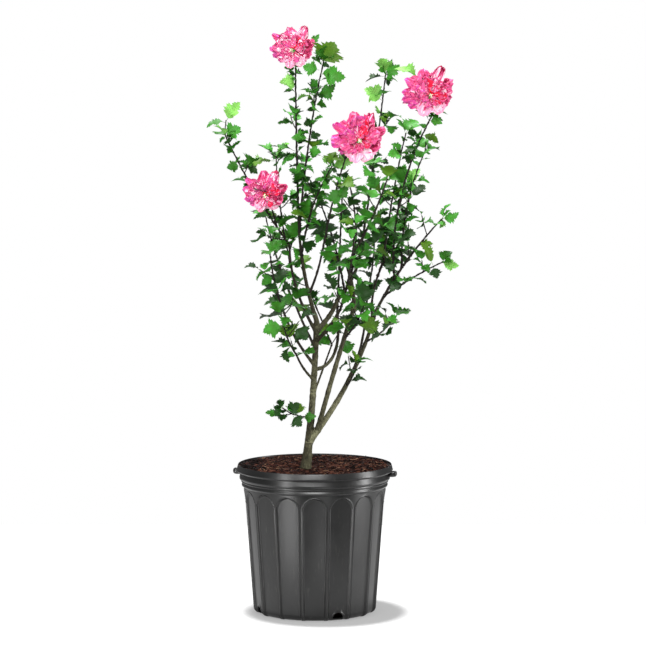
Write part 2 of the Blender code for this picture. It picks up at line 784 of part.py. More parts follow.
# Trunk and boughs. Each is cut back from the limbs before it, so its foot is seated on them.
def build_boughs(parts, routes, limbs):
    kept = []
    grown = new_collection("grown_limbs")
    for limb in BOUGHS:
        limbs[limb.name] = limb
        points = bough_route(limb, routes, limbs)
        routes[limb.name] = points
        if limb.parent is None:
            points = longer(points, TRUNK_BURY, 0)
        mesh = tube_mesh(limb.name, points, bough_radii(limb, points), sides_of(limb))
        if limb.parent is None:
            cut_level(mesh, TRUNK_FOOT.z)
        obj = add_object(limb.name, mesh, parts)
        own = Kept(limb.name, mesh)
        for other in [k for k in kept if k.touches(own)]:
            cutter = grown_limb(limbs[other.owner], longer(routes[other.owner], TRUNK_BURY, GAP))
            add_object(cutter.name, cutter, grown)
        if grown.objects:
            apply_boolean(obj, "DIFFERENCE", grown)
        kept.append(Kept(limb.name, obj.data))
        shade_round(obj.data, BARK_EDGE)
        finish(obj, BARK)
    bpy.data.collections.remove(grown)
    return kept


# A ball whose every corner is moved to a place worked out from where it is on the ball
def ball_mesh(name, sides, rings, shape_at):
    shape = bmesh.new()
    bmesh.ops.create_uvsphere(shape, u_segments=sides, v_segments=rings, radius=1)
    for vert in shape.verts:
        vert.co = Vector(shape_at(vert.co))
    mesh = bpy.data.meshes.new(name)
    shape.to_mesh(mesh)
    shape.free()
    return mesh


# A leaf blade: a flattened ball of eight faces, with its poles on the blade's two sides
def leaf_mesh(name, length, root=0, margin=0):
    def shape_at(p):
        start = length * root
        along = length * LEAF_WIDEST
        if abs(p.z) > 0.5:
            return (0, along, (LEAF_THICKNESS / 2 + margin) * p.z)
        if p.y < -0.5:
            return (0, start, 0)
        if p.y > 0.5:
            return (0, length + margin, -length * LEAF_DROOP)
        return ((length * LEAF_WIDTH / 2 + margin) * p.x, along, length * LEAF_FOLD)

    return ball_mesh(name, 4, 2, shape_at)


# Frame whose Y runs along a direction and whose Z is as near as can be to another
def frame_at(place, along, facing):
    y = along.normalized()
    x = y.cross(facing).normalized()
    z = x.cross(y)
    rotation = Matrix((x, y, z)).transposed().to_4x4()
    return Matrix.Translation(place) @ rotation


# A direction square to a twig, at an angle round it
def side_of(heading, angle):
    across = heading.cross(UP)
    if across.length < 0.1:
        across = heading.cross(Vector((0, 1, 0)))
    return Matrix.Rotation(angle, 3, heading) @ across.normalized()


Leaf = namedtuple("Leaf", "place along facing length axis")
Twig = namedtuple("Twig", "points leaves")


def draw_leaf(rng, place, heading, side, length):
    lift = math.radians(rng.uniform(*LEAF_LIFT))
    along = side * math.cos(lift) + UP * math.sin(lift) + heading * LEAF_LEAN
    along.normalize()
    roll = Matrix.Rotation(math.radians(rng.uniform(*LEAF_ROLL)), 3, along)
    facing = roll @ (UP + side * LEAF_OUTWARD - along * LEAF_BACK)
    return Leaf(place, along, facing, length * rng.uniform(*LEAF_SPREAD), heading)


# A spur with the leaf at its end and one on either hand
def draw_spur(rng, place, heading, side, length, share, turn):
    reach = rng.uniform(*SPUR_LENGTHS) * (SPUR_FIRST - SPUR_SHRINK * share)
    along = (side + heading * SPUR_LEAN + UP * SPUR_LIFT).normalized()
    end = place + along * reach
    leaves = [draw_leaf(rng, end - along * LEAF_BITE, along, along, length)]
    middle = place.lerp(end, HAND_SHARE)
    for hand in (-1, 1):
        outward = side_of(along, turn + hand * HAND_TURN)
        leaves.append(draw_leaf(rng, middle, along, outward, length * HAND_SIZE))
    return Twig((place, end), leaves)


# The growth rule: one leaf at each joint, a turn of 137.5 degrees apart, and at every few
# joints a short spur that bears three. Leaves shrink towards the tip.
def grow(shoot, points):
    rng = random.Random(shoot.seed)
    turn = rng.uniform(0, math.tau)
    leaves = []
    twigs = []
    for i in range(shoot.joints):
        share = shoot.leafy + (LEAVES_END - shoot.leafy) * i / (shoot.joints - 1)
        place = point_along(points, share)
        heading = heading_along(points, share)
        side = side_of(heading, turn + i * LEAF_STEP)
        length = shoot.leaf * (LEAF_FIRST - LEAF_SHRINK * share)
        if i % shoot.spurs == 1 and share < SPURS_END:
            twigs.append(draw_spur(rng, place, heading, side, length, share, turn + i))
        else:
            leaves.append(draw_leaf(rng, place, heading, side, length))
    heading = heading_along(points, 1)
    tip = points[-1] - heading * LEAF_BITE
    for angle, size in TIP_LEAVES:
        side = (side_of(heading, turn + angle) + heading * TIP_LEAN).normalized()
        leaves.append(draw_leaf(rng, tip, heading, side, shoot.leaf * size))
    return leaves, twigs


def placed_leaf(name, leaf, place, root=0, margin=0):
    mesh = leaf_mesh(name, leaf.length, root, margin)
    mesh.transform(place)
    return mesh


# Turns a leaf about its twig until it stands clear: all of it of other solids, and the
# part beyond its root of its own shoot
def fit_leaf(leaf, owner, kept, near):
    others = [k for k in kept if k.owner != owner]
    own = [k for k in kept if k.owner == owner] + near
    for degrees in LEAF_TURNS:
        turn = Matrix.Rotation(math.radians(degrees), 3, leaf.axis)
        place = frame_at(leaf.place, turn @ leaf.along, turn @ leaf.facing)
        whole = Kept(owner, placed_leaf("trial", leaf, place, 0, LEAF_MARGIN))
        outer = Kept(owner, placed_leaf("trial", leaf, place, LEAF_ROOT, LEAF_MARGIN))
        if any(whole.touches(other) for other in others):
            continue
        if not any(outer.touches(other) for other in own):
            return placed_leaf("leaf", leaf, place)
    return None


def stem_radii(shoot, count):
    return [TRIANGLE_GIRTH * radius_along(shoot, i / (count - 1)) for i in range(count)]


# Slides a side shoot's foot in along its own line until it is seated on its parent
def seated(shoot, points, routes, limbs, profile):
    parent = Kept(shoot.parent, grown_limb(limbs[shoot.parent], routes[shoot.parent]))
    radii = stem_radii(shoot, len(points))
    step = (points[1] - points[0]).normalized() * SEAT_STEP
    for _ in range(SEAT_TRIES):
        closer = [points[0] - step, *points[1:]]
        if Kept(shoot.name, tube_mesh("trial", closer, radii, profile=profile)).touches(parent):
            break
        points = closer
    return points


def build_stem(shoot, parts, routes, limbs, profile):
    points = shoot_route(shoot, routes, limbs)
    if shoot.share < 1:
        points = seated(shoot, points, routes, limbs, profile)
    limbs[shoot.name] = shoot
    routes[shoot.name] = points
    mesh = tube_mesh(shoot.name, points, stem_radii(shoot, len(points)), profile=profile)
    return add_object(shoot.name, mesh, parts)


# Leaves and spurs are fused to their shoot, and one that finds no room is left off
def build_foliage(shoot, stem, routes, kept, profile):
    leaves, twigs = grow(shoot, routes[shoot.name])
    growth = new_collection(shoot.name + "_growth")
    near = []

    def add_leaf(leaf):
        mesh = fit_leaf(leaf, shoot.name, kept, near)
        if mesh:
            add_object("leaf", mesh, growth)
            near.append(Kept(shoot.name, mesh))

    for twig in twigs:
        start, end = twig.points
        heading = (end - start).normalized()
        outside = start + heading * (3 * shoot.radius)
        girth = SPUR_RADIUS * TRIANGLE_GIRTH
        trial = tube_mesh("trial", (outside, end), (girth + LEAF_MARGIN,) * 2, profile=profile)
        space = Kept(shoot.name, trial)
        if any(space.touches(other) for other in kept + near):
            continue
        mesh = tube_mesh("spur", (start, end), (girth, girth * SPUR_TAPER), profile=profile)
        add_object("spur", mesh, growth)
        near.append(space)
        for leaf in twig.leaves:
            add_leaf(leaf)
    for leaf in leaves:
        add_leaf(leaf)
    apply_boolean(stem, "UNION", growth)
    bpy.data.collections.remove(growth)
    kept += near
    finish(stem, LEAF)


# One round of petals as a thin lobed saucer, whose edge is ruffled
def petal_round(name, cells, width, shares, turn):
    reach, thickness, cup = [width * share for share in shares]

    def shape_at(p):
        out = math.hypot(p.x, p.y)
        angle = math.atan2(p.y, p.x) + turn
        lobe = 1 + out * (LOBE * math.cos(LOBES * angle) + FRILL * math.sin(3 * LOBES * angle))
        wave = RUFFLE * out**2 * math.cos(2 * LOBES * angle + turn)
        return (reach * lobe * p.x, reach * lobe * p.y, thickness / 2 * p.z + cup * out**2 + wave)

    return ball_mesh(name, *cells, shape_at)


# A double flower: a broad ruffled round, an upright one inside it, a closed heart and a calyx
def build_bloom(bloom, parts, routes, limbs):
    facing = Vector(bloom.facing).normalized()
    middle = Vector(bloom.middle)
    back = middle - facing * (bloom.width * BLOOM_DEPTH)
    turn = facing.to_track_quat("Z", "Y").to_matrix().to_4x4()
    seat = Matrix.Translation(back) @ turn
    width = bloom.width
    outer = petal_round("outer_petals", OUTER_MESH, width, OUTER_ROUND, bloom.turn)
    inner = petal_round("inner_petals", INNER_MESH, width, INNER_ROUND, bloom.turn + INNER_TURN)
    inner.transform(Matrix.Translation((0, 0, width * INNER_LIFT)))
    pieces = new_collection(bloom.name + "_petals")
    for mesh in (outer, inner, cup_mesh("calyx")):
        mesh.transform(seat)
        add_object(mesh.name, mesh, pieces)
    points = stalk_route(bloom, back, facing, routes, limbs)
    mesh = tube_mesh(bloom.name, points, [STALK_RADIUS] * len(points), sides=6)
    obj = add_object(bloom.name, mesh, parts)
    apply_boolean(obj, "UNION", pieces)
    bpy.data.collections.remove(pieces)
    finish(obj, PETAL)
    return Kept(bloom.name, obj.data)


def cup_mesh(name):
    shape = bmesh.new()
    bmesh.ops.create_cone(
        shape,
        cap_ends=True,
        segments=6,
        radius1=STALK_RADIUS * CALYX_FOOT,
        radius2=CALYX_RADIUS,
        depth=CALYX_LENGTH,
        matrix=Matrix.Translation((0, 0, CALYX_SEAT - CALYX_LENGTH / 2)),
    )
    mesh = bpy.data.meshes.new(name)
    shape.to_mesh(mesh)
    shape.free()
    return mesh


# The flowering twig leaves its shoot and bends to come into the flower from behind
def stalk_route(bloom, back, facing, routes, limbs):
    end = back - facing * (CALYX_LENGTH / 2)
    twig = Limb(bloom.name, bloom.parent, bloom.share, tuple(end), (0, 0, 0), STALK_RADIUS, STALK_RADIUS)
    lead = start_of(twig, routes, limbs)
    start = lead[-1]
    pull = end - facing * ((end - start).length / 2)
    points = lead[:-1]
    for i in range(STALK_SPANS + 1):
        t = i / STALK_SPANS
        points.append(start * (1 - t) ** 2 + pull * (2 * t * (1 - t)) + end * t**2)
    return points


def main():
    clear_scene()
    parts = new_collection("potted_rose_of_sharon")
    cutters = new_collection("cutters")
    guides = new_collection("guides")
    routes = {}
    limbs = {}
    kept = build_boughs(parts, routes, limbs)
    profile = profile_triangle(guides)
    hide_cutter(profile)
    stems = [build_stem(shoot, parts, routes, limbs, profile) for shoot in SHOOTS]
    kept += [Kept(stem.name, stem.data) for stem in stems]
    kept += [build_bloom(bloom, parts, routes, limbs) for bloom in BLOOMS]
    for shoot, stem in zip(SHOOTS, stems):
        build_foliage(shoot, stem, routes, kept, profile)
    build_mix(parts)
    build_pot(parts, cutters)


main()
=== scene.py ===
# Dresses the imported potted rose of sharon: moulded pot, bark mulch, bark, leaves and double blooms.
# Metres, +Z up, the blooms face -Y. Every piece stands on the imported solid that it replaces.

import random
from math import cos, exp, hypot, pi, radians, sin, sqrt, tau

import bmesh
import bpy
from mathutils import Matrix, Vector, noise
from mathutils.kdtree import KDTree


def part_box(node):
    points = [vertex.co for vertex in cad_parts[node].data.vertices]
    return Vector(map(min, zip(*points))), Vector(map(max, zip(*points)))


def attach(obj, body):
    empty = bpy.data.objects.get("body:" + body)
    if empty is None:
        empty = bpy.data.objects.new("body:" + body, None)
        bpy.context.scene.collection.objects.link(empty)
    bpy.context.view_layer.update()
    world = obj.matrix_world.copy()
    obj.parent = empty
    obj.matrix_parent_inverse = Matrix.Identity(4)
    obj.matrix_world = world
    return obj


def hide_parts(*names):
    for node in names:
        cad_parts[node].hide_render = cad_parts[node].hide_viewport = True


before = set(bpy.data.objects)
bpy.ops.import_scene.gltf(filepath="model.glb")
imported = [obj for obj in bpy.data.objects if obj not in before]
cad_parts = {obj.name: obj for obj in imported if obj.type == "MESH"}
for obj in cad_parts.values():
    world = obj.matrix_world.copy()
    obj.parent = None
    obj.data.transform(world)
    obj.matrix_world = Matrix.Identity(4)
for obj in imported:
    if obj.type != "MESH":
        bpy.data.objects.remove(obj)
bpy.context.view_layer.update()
up = Vector((0, 0, 1))
print("frame loaded:", len(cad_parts), "solids")


# Tools that every piece uses


def linearColour(code):
    channels = [int(code[i : i + 2], 16) / 255 for i in (1, 3, 5)]
    return (*[c / 12.92 if c <= 0.04045 else ((c + 0.055) / 1.055) ** 2.4 for c in channels], 1)


# Tables give lengths in millimetres
def metres(lengths):
    return Vector([length / 1000 for length in lengths])


# Links the sockets of a node, told by name or number, to sockets or to the first output in use of
# other nodes
def join(node, links):
    for name, source in links.items():
        if isinstance(source, bpy.types.Node):
            source = next(socket for socket in source.outputs if socket.enabled)
        node.id_data.links.new(source, node.inputs[name])


# Adds a node with its settings and links; stops are the places and colours on a colour ramp
def addNode(tree, kind, settings, links=None):
    node = tree.nodes.new("ShaderNode" + kind)
    for name, value in settings.items():
        if name == "stops":
            elements = node.color_ramp.elements
            while len(elements) < len(value):
                elements.new(0.5)
            for element, (place, code) in zip(elements, value):
                element.position = place
                element.color = linearColour(code)
        elif isinstance(name, int) or name in node.inputs:
            node.inputs[name].default_value = value
        else:
            setattr(node, name, value)
    join(node, links or {})
    return node


# Gives the new material, its nodes, its shader and the place on the object, in metres
def startMaterial(name, colour, roughness, ior, shine=0.5):
    material = bpy.data.materials.new(name)
    material.use_nodes = True
    tree = material.node_tree
    shader = tree.nodes["Principled BSDF"]
    shader.inputs["Base Color"].default_value = linearColour(colour)
    shader.inputs["Roughness"].default_value = roughness
    shader.inputs["IOR"].default_value = ior
    shader.inputs["Specular IOR Level"].default_value = shine
    return material, tree, shader, addNode(tree, "TexCoord", {}).outputs["Object"]


# A surface whose tint drifts in clouds of one size, by a ramp of colours or from dark to light, and
# that is as rough to the touch as bump gives in strength and depth
def clouded(name, colour, roughness, ior, shine, size, detail=2, stops=(), shades=(), bump=()):
    material, tree, shader, place = startMaterial(name, colour, roughness, ior, shine)
    cloud = addNode(tree, "TexNoise", {"Scale": 1 / size, "Detail": detail}, {"Vector": place})
    if stops:
        tint = addNode(tree, "ValToRGB", {"stops": stops}, {"Fac": cloud})
    else:
        value = addNode(tree, "MapRange", {"To Min": shades[0], "To Max": shades[1]}, {"Value": cloud})
        tint = addNode(tree, "HueSaturation", {"Color": linearColour(colour)}, {"Value": value})
    join(shader, {"Base Color": tint})
    if bump:
        raised = addNode(tree, "Bump", {"Strength": bump[0], "Distance": bump[1]}, {"Height": cloud})
        join(shader, {"Normal": raised})
    return material


def addObject(name, data):
    obj = bpy.data.objects.new(name, data)
    bpy.context.scene.collection.objects.link(obj)
    return obj


# Runs a modifier on an object's mesh and keeps the result
def runModifier(obj, kind, **settings):
    modifier = obj.modifiers.new(kind.lower(), kind)
    for name, value in settings.items():
        setattr(modifier, name, value)
    bpy.context.view_layer.update()
    depsgraph = bpy.context.evaluated_depsgraph_get()
    mesh = bpy.data.meshes.new_from_object(obj.evaluated_get(depsgraph))
    obj.modifiers.clear()
    obj.data = mesh


# Turns about Z, then out from there, then a lean about Y
def setOut(angle, offset, lean=0):
    return Matrix.Rotation(angle, 4, "Z") @ Matrix.Translation(offset) @ Matrix.Rotation(lean, 4, "Y")


def smoothStep(value):
    t = min(max(value, 0), 1)
    return t * t * (3 - 2 * t)


# Gathers many small shapes into one mesh
class Sheaf:
    def __init__(self):
        self.points = []
        self.faces = []

    def add(self, points, faces):
        start = len(self.points)
        self.points += [tuple(p) for p in points]
        self.faces += [[start + i for i in face] for face in faces]

    def build(self, name, material, smooth=True):
        mesh = bpy.data.meshes.new(name)
        mesh.from_pydata(self.points, [], self.faces)
        if smooth:
            mesh.shade_smooth()
        mesh.materials.append(material)
        return addObject(name, mesh)


def dress(obj, slot, *nodes):
    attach(obj, "root")
    if nodes:
        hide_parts(*nodes)
    return obj


# Faces between rings of corners
def ringFaces(rings, sides):
    faces = []
    for i in range(0, (rings - 1) * sides, sides):
        for j in range(sides):
            k = (j + 1) % sides
            faces.append([i + j, i + k, i + sides + k, i + sides + j])
    return faces


# A closed tube along points, with a radius at each
def tube(points, radii, sides):
    corners = []
    ahead = (points[1] - points[0]).normalized()
    across = ahead.orthogonal().normalized()
    for i, (point, radius) in enumerate(zip(points, radii)):
        if 0 < i:
            ahead = (points[min(i + 1, len(points) - 1)] - points[i - 1]).normalized()
            across = (across - ahead * across.dot(ahead)).normalized()
        other = ahead.cross(across)
        for j in range(sides):
            angle = tau * j / sides
            corners.append(point + (across * cos(angle) + other * sin(angle)) * radius)
    ends = [range(sides)[::-1], range(len(corners) - sides, len(corners))]
    return corners, [*ringFaces(len(points), sides), *ends]


# A curve from start to end that leans towards a corner
def bend(start, corner, end, steps):
    shares = [i / steps for i in range(steps + 1)]
    return [start * (1 - t) ** 2 + corner * (2 * t * (1 - t)) + end * t**2 for t in shares]


# Reads a smooth curve through points, a step apart
def smoothPath(points, step):
    padded = [points[0] * 2 - points[1], *points, points[-1] * 2 - points[-2]]
    path = []
    for a, b, c, d in zip(padded, padded[1:], padded[2:], padded[3:]):
        count = max(1, round((c - b).length / step))
        for i in range(count):
            t = i / count
            curve = (c - a) * t + (a * 2 - b * 5 + c * 4 - d) * t**2 + (b * 3 - a - c * 3 + d) * t**3
            path.append((b * 2 + curve) / 2)
    return [*path, points[-1]]


# Pot: a turned wall with lip, skirt and bead, pressed in by arched flutes

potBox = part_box("pot")
potLook = {
    "height": potBox[1].z,
    "lip": potBox[1].y,  # the lip's radius
    "lipInside": 0.1366,
    "rim": (  # lip, skirt and bead: millimetres in from the lip's edge and down from its top
        *((2.6, 0), (2.2, 1.2), (0, 9.8), (0.4, 11.8), (5.6, 12.4), (7.4, 13.8), (5.0, 22.5)),
        *((5.6, 26.2), (8.8, 27.0), (8.0, 30.5), (11.2, 31.6), (9.0, 36.2), (10.2, 39.0), (13.2, 39.8)),
    ),
    "wallTop": (0.1268, 0.2255),  # radius and height where the plain wall starts
    "wallFoot": (0.1105, 0.010),
    "wall": 0.0030,
    "flutes": 16,
    "columns": 40,  # mesh columns to each flute
    "fluteTop": 0.0220,  # half widths, at the spring of the arch and at the foot
    "fluteFoot": 0.0188,
    "flatness": 0.45,  # of a flute's floor, between round as the wall and flat
    "spring": 0.197,
    "rise": 0.0240,
    "footLine": -0.0100,  # the flutes run out at the foot
    "depth": 0.0032,
    "round": 0.0018,  # how wide the step at a flute's edge is
    "bead": 0.0008,  # a fine raised line around each flute, and how far out and how wide it runs
    "beadLine": (0.0005, 0.0010),
    "corner": 0.0011,  # rounding of the lip, skirt and bead
    "lugTurn": radians(-8),
    "lugSize": (0.0092, 0.0066, 0.0060),
    "lugDrop": 0.0152,  # from the top of the lip
    "notchFirst": radians(-67.5),
    "notchRadius": 0.0098,
    "notchHeight": 0.005,
    "notchRim": 0.0012,
    "notchLine": (0.0015, 0.0022),
    "rows": (0.0008, 43, 0.0065, 12),  # mesh rows: height and number by the arches, below, at the foot
}


# The profile of the rim, every inner corner rounded
def rimProfile(p):
    inside, top = p["lipInside"], p["height"]
    corners = [(p["lip"] - inward / 1000, top - down / 1000) for inward, down in p["rim"]]
    corners = [(inside, top - 0.0030), (inside + 0.0004, top), *corners, p["wallTop"]]
    corners = [Vector(corner) for corner in corners]
    profile = [corners[0]]
    for before, corner, after in zip(corners, corners[1:], corners[2:]):
        start = corner + (before - corner) * min(0.5, p["corner"] / (before - corner).length)
        end = corner + (after - corner) * min(0.5, p["corner"] / (after - corner).length)
        profile += bend(start, corner, end, 3)
    return [*profile, corners[-1]]


# How far inside a flute's outline a place on the wall lies
def insideFlute(p, across, z):
    share = (z - p["footLine"]) / (p["spring"] - p["footLine"])
    half = p["fluteFoot"] + (p["fluteTop"] - p["fluteFoot"]) * min(share, 1)
    if z > p["spring"]:
        return (1 - hypot(across / half, (z - p["spring"]) / p["rise"])) * p["rise"]
    return min(half - abs(across), z - p["footLine"])


# Where the outside of the wall is, with its flutes and the rims of its notches
def wallPoint(p, angle, z):
    (footRadius, foot), (topRadius, top) = p["wallFoot"], p["wallTop"]
    radius = footRadius + (z - foot) / (top - foot) * (topRadius - footRadius)
    turn = tau / p["flutes"]
    offset = (angle + pi / 2 + turn / 2) % turn - turn / 2
    flat = (radius - p["depth"]) / cos(offset) ** p["flatness"]
    inside = insideFlute(p, offset * radius, z)
    reach = radius + (flat - radius) * smoothStep(inside / p["round"])
    reach += p["bead"] * smoothStep(1 - abs(inside + p["beadLine"][0]) / p["beadLine"][1])
    for i in range(4):
        apart = (angle - p["notchFirst"] - i * pi / 2 + pi) % tau - pi
        away = hypot(apart * radius, z - p["notchHeight"]) - p["notchRadius"]
        reach += p["notchRim"] * smoothStep(1 - abs(away - p["notchLine"][0]) / p["notchLine"][1])
    return Vector((reach * cos(angle), reach * sin(angle), z))


def wallHeights(p):
    fine, count, coarse, steps = p["rows"]
    heights = [p["wallTop"][1] - i * fine for i in range(1, count + 1)]
    while heights[-1] > 0.022:
        heights.append(heights[-1] - coarse)
    start = heights[-1]
    return heights + [start + (p["wallFoot"][1] - start) * i / steps for i in range(1, steps + 1)]


def turnProfile(profile, angles):
    return [[(radius * cos(a), radius * sin(a), z) for a in angles] for radius, z in profile]


def potShell(p):
    count = p["flutes"] * p["columns"]
    angles = [tau * i / count for i in range(count)]
    (footRadius, foot), (topRadius, top) = p["wallFoot"], p["wallTop"]
    inside = (  # underside, floor, wall and the back of the lip
        *((0.060, 0), (0.002, 0), (0.002, p["wall"]), (footRadius - 0.009, p["wall"])),
        *((footRadius - 0.0055, foot), (topRadius - 0.0055, top)),
        (p["lipInside"] - 0.0066, p["height"] - 0.0130),
        (p["lipInside"], p["height"] - 0.0070),
    )
    rows = turnProfile(rimProfile(p), angles)
    rows += [[wallPoint(p, a, z) for a in angles] for z in wallHeights(p)]
    for i in range(1, 6):
        turn = radians(90) * i / 5
        z = foot - foot * sin(turn)
        inward = foot * (1 - cos(turn))
        rows.append([wallPoint(p, a, z) - Vector((cos(a), sin(a), 0)) * inward for a in angles])
    rows += turnProfile(inside, angles)
    faces = []
    for i in range(len(rows)):
        k = (i + 1) % len(rows)
        for j in range(count):
            n = (j + 1) % count
            faces.append([i * count + n, i * count + j, k * count + j, k * count + n])
    sheaf = Sheaf()
    sheaf.add([corner for row in rows for corner in row], faces)
    return sheaf


# Drain notches are cut through the foot, as in the solid
def notchCutter(p):
    shape = bmesh.new()
    offset = (p["wallFoot"][0] + 0.001, 0, p["notchHeight"])
    size = {"segments": 32, "radius1": p["notchRadius"], "radius2": p["notchRadius"], "depth": 0.020}
    for i in range(4):
        place = setOut(p["notchFirst"] + i * pi / 2, offset, radians(90))
        bmesh.ops.create_cone(shape, cap_ends=True, matrix=place, **size)
    mesh = bpy.data.meshes.new("notchCutter")
    shape.to_mesh(mesh)
    shape.free()
    return addObject("notchCutter", mesh)


# A rounded knob that stands out of the skirt on either hand
def lugShape(p, angle):
    shape = bmesh.new()
    bmesh.ops.create_cube(shape, size=1)
    bmesh.ops.subdivide_edges(shape, edges=shape.edges, cuts=5, use_grid_fill=True)
    place = setOut(angle, (p["lip"] - 0.001, 0, p["height"] - p["lugDrop"]))
    for vert in shape.verts:
        q = vert.co * 2
        length = sum(abs(side) ** 3 for side in q) ** (1 / 3)
        vert.co = place @ Vector([side * size / length for side, size in zip(q, p["lugSize"])])
    corners = [v.co.copy() for v in shape.verts]
    faces = [[v.index for v in f.verts] for f in shape.faces]
    shape.free()
    return corners, faces


# High-density polyethylene, moulded: a satin black skin with a faint grain and dusty scuffs. It is a
# little glossier at the rim, where hands rub it. Its grain is drawn at 1.2 mm, coarser than the real
# one, so that it shows.
def mouldedPolyethylene():
    material, tree, shader, place = startMaterial("mouldedBlackPolyethylene", "#0c0c0c", 0.36, 1.52)
    cloud = addNode(tree, "TexNoise", {"Scale": 1 / 0.030, "Detail": 4}, {"Vector": place})
    grain = addNode(tree, "TexNoise", {"Scale": 1 / 0.0012, "Detail": 2}, {"Vector": place})
    tint = addNode(tree, "ValToRGB", {"stops": ((0.35, "#090909"), (0.70, "#101010"))}, {"Fac": cloud})
    satin = addNode(tree, "MapRange", {"To Min": 0.31, "To Max": 0.41}, {"Value": cloud})
    height = addNode(tree, "SeparateXYZ", {}, {"Vector": place}).outputs["Z"]
    rubbed = {"From Min": 0.216, "From Max": 0.228, "To Min": 0, "To Max": -0.04}
    handled = addNode(tree, "MapRange", rubbed, {"Value": height})
    gloss = addNode(tree, "Math", {"operation": "ADD"}, {0: satin, 1: handled})
    bump = addNode(tree, "Bump", {"Strength": 0.10, "Distance": 0.0003}, {"Height": grain})
    stretched = addNode(tree, "Mapping", {"Scale": (1, 1, 0.16)}, {"Vector": place})
    streaks = addNode(tree, "TexNoise", {"Scale": 1 / 0.0035, "Detail": 5}, {"Vector": stretched})
    scuffs = addNode(tree, "MapRange", {"From Min": 0.60, "From Max": 0.85}, {"Value": streaks})
    dust = {"data_type": "RGBA", 7: linearColour("#2e2d2b")}
    dusty = addNode(tree, "Mix", dust, {0: scuffs, 6: tint})
    join(shader, {"Base Color": dusty, "Roughness": gloss, "Normal": bump})
    return material


def makePot(p):
    pot = potShell(p).build("pottedShell", mouldedPolyethylene())
    cutter = notchCutter(p)
    runModifier(pot, "BOOLEAN", operation="DIFFERENCE", solver="MANIFOLD", object=cutter)
    bpy.data.objects.remove(cutter)
    knobs = Sheaf()
    for i in range(2):
        knobs.add(*lugShape(p, p["lugTurn"] + pi * i))
    lugs = knobs.build("pottedLugs", pot.data.materials[0])
    pot.data.shade_smooth()
    pot.data.set_sharp_from_angle(angle=radians(50))
    dress(pot, "pot", "pot")
    dress(lugs, "pot")
    print("pot:", len(pot.data.polygons), "faces")


makePot(potLook)


# Mulch: shredded bark that lies loose on the potting mix

mulchLook = {
    "fibres": 5600,
    "length": (0.004, 0.019),
    "width": (0.0007, 0.0021),
    "heap": 0.0032,  # how high the fibres pile up
    "heaps": 45,  # to a metre
    "tilt": radians(16),
    "bow": 0.16,  # share of a fibre's length
    "flatness": 0.4,  # thickness to width
    "margin": 0.0060,
    "seed": 5,
    "paintedShadeFrom": -0.080,  # beyond this, towards the left rim, the mulch is drawn nearly black: painted shade
    "paintedShadeFade": 0.03,
    "paintedShadeBlend": (0.3, 0.1, 0, 0, 0.6),
    "blends": (  # share, colour and name of each kind
        (0.33, "#1f0e0a", "barkFibreDark"),
        (0.27, "#3b1e18", "barkFibreRed"),
        (0.19, "#5d392c", "barkFibreBrown"),
        (0.05, "#7f5f4b", "barkFibreTan"),
        # the black kind is near-black peat, dealt often enough to stand also for the shade in the crevices
        # between fibres: partly painted shade
        (0.16, "#070302", "barkFibreBlack"),
    ),
}


# Shredded pine bark: dull dry fibre, rough all over. Its threads are drawn at 1.4 mm to show.
def shreddedBark(name, colour):
    return clouded(name, colour, 0.88, 1.45, 0.2, 0.0014, 3, shades=(0.62, 1.35), bump=(0.6, 0.0004))


# One fibre: a three-sided sliver with a bend in it
def fibreShape(rng, m):
    length = rng.uniform(*m["length"])
    width = rng.uniform(*m["width"])
    bow = rng.uniform(-m["bow"], m["bow"]) * length
    corners = []
    for share, girth in ((-0.5, 0.35), (0, 1), (0.5, 0.25)):
        for j in range(3):
            angle = tau * j / 3
            side = bow * (1 - 4 * share**2) + width * girth * cos(angle)
            rise = m["flatness"] * width * girth * sin(angle)
            corners.append(Vector((length * share, side, rise)))
    return corners, [[2, 1, 0], [6, 7, 8], *ringFaces(3, 3)]


def makeMulch(m):
    rng = random.Random(m["seed"])
    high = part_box("potting_mix")[1]
    reach = high.x - m["margin"]
    sheaves = [Sheaf() for _ in m["blends"]]
    for _ in range(m["fibres"]):
        radius = reach * sqrt(rng.random())
        angle = rng.uniform(0, tau)
        spot = Vector((radius * cos(angle), radius * sin(angle), high.z))
        pile = 0.5 + 0.5 * noise.noise(spot * m["heaps"])
        spot.z += m["heap"] * pile * rng.random()
        turn = Matrix.Rotation(rng.uniform(0, tau), 4, "Z")
        turn @= Matrix.Rotation(rng.uniform(-m["tilt"], m["tilt"]), 4, "Y")
        turn @= Matrix.Rotation(rng.uniform(0, tau), 4, "X")
        corners, faces = fibreShape(rng, m)
        # painted shade: fibres by the left rim are dealt mostly the dark and black kinds
        inPaintedShade = smoothStep((m["paintedShadeFrom"] - spot.x) / m["paintedShadeFade"]) > rng.random()
        shares = m["paintedShadeBlend"] if inPaintedShade else [blend[0] for blend in m["blends"]]
        kind = rng.choices(range(len(sheaves)), shares)[0]
        sheaves[kind].add([Matrix.Translation(spot) @ turn @ c for c in corners], faces)
    for sheaf, (_, colour, name) in zip(sheaves, m["blends"]):
        dress(sheaf.build(name, shreddedBark(name, colour), smooth=False), "mix")
    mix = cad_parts["potting_mix"]
    mix.data.materials.clear()
    mix.data.materials.append(shreddedBark("moistPeat", "#190d0a"))
    print("mulch:", m["fibres"], "fibres")


makeMulch(mulchLook)


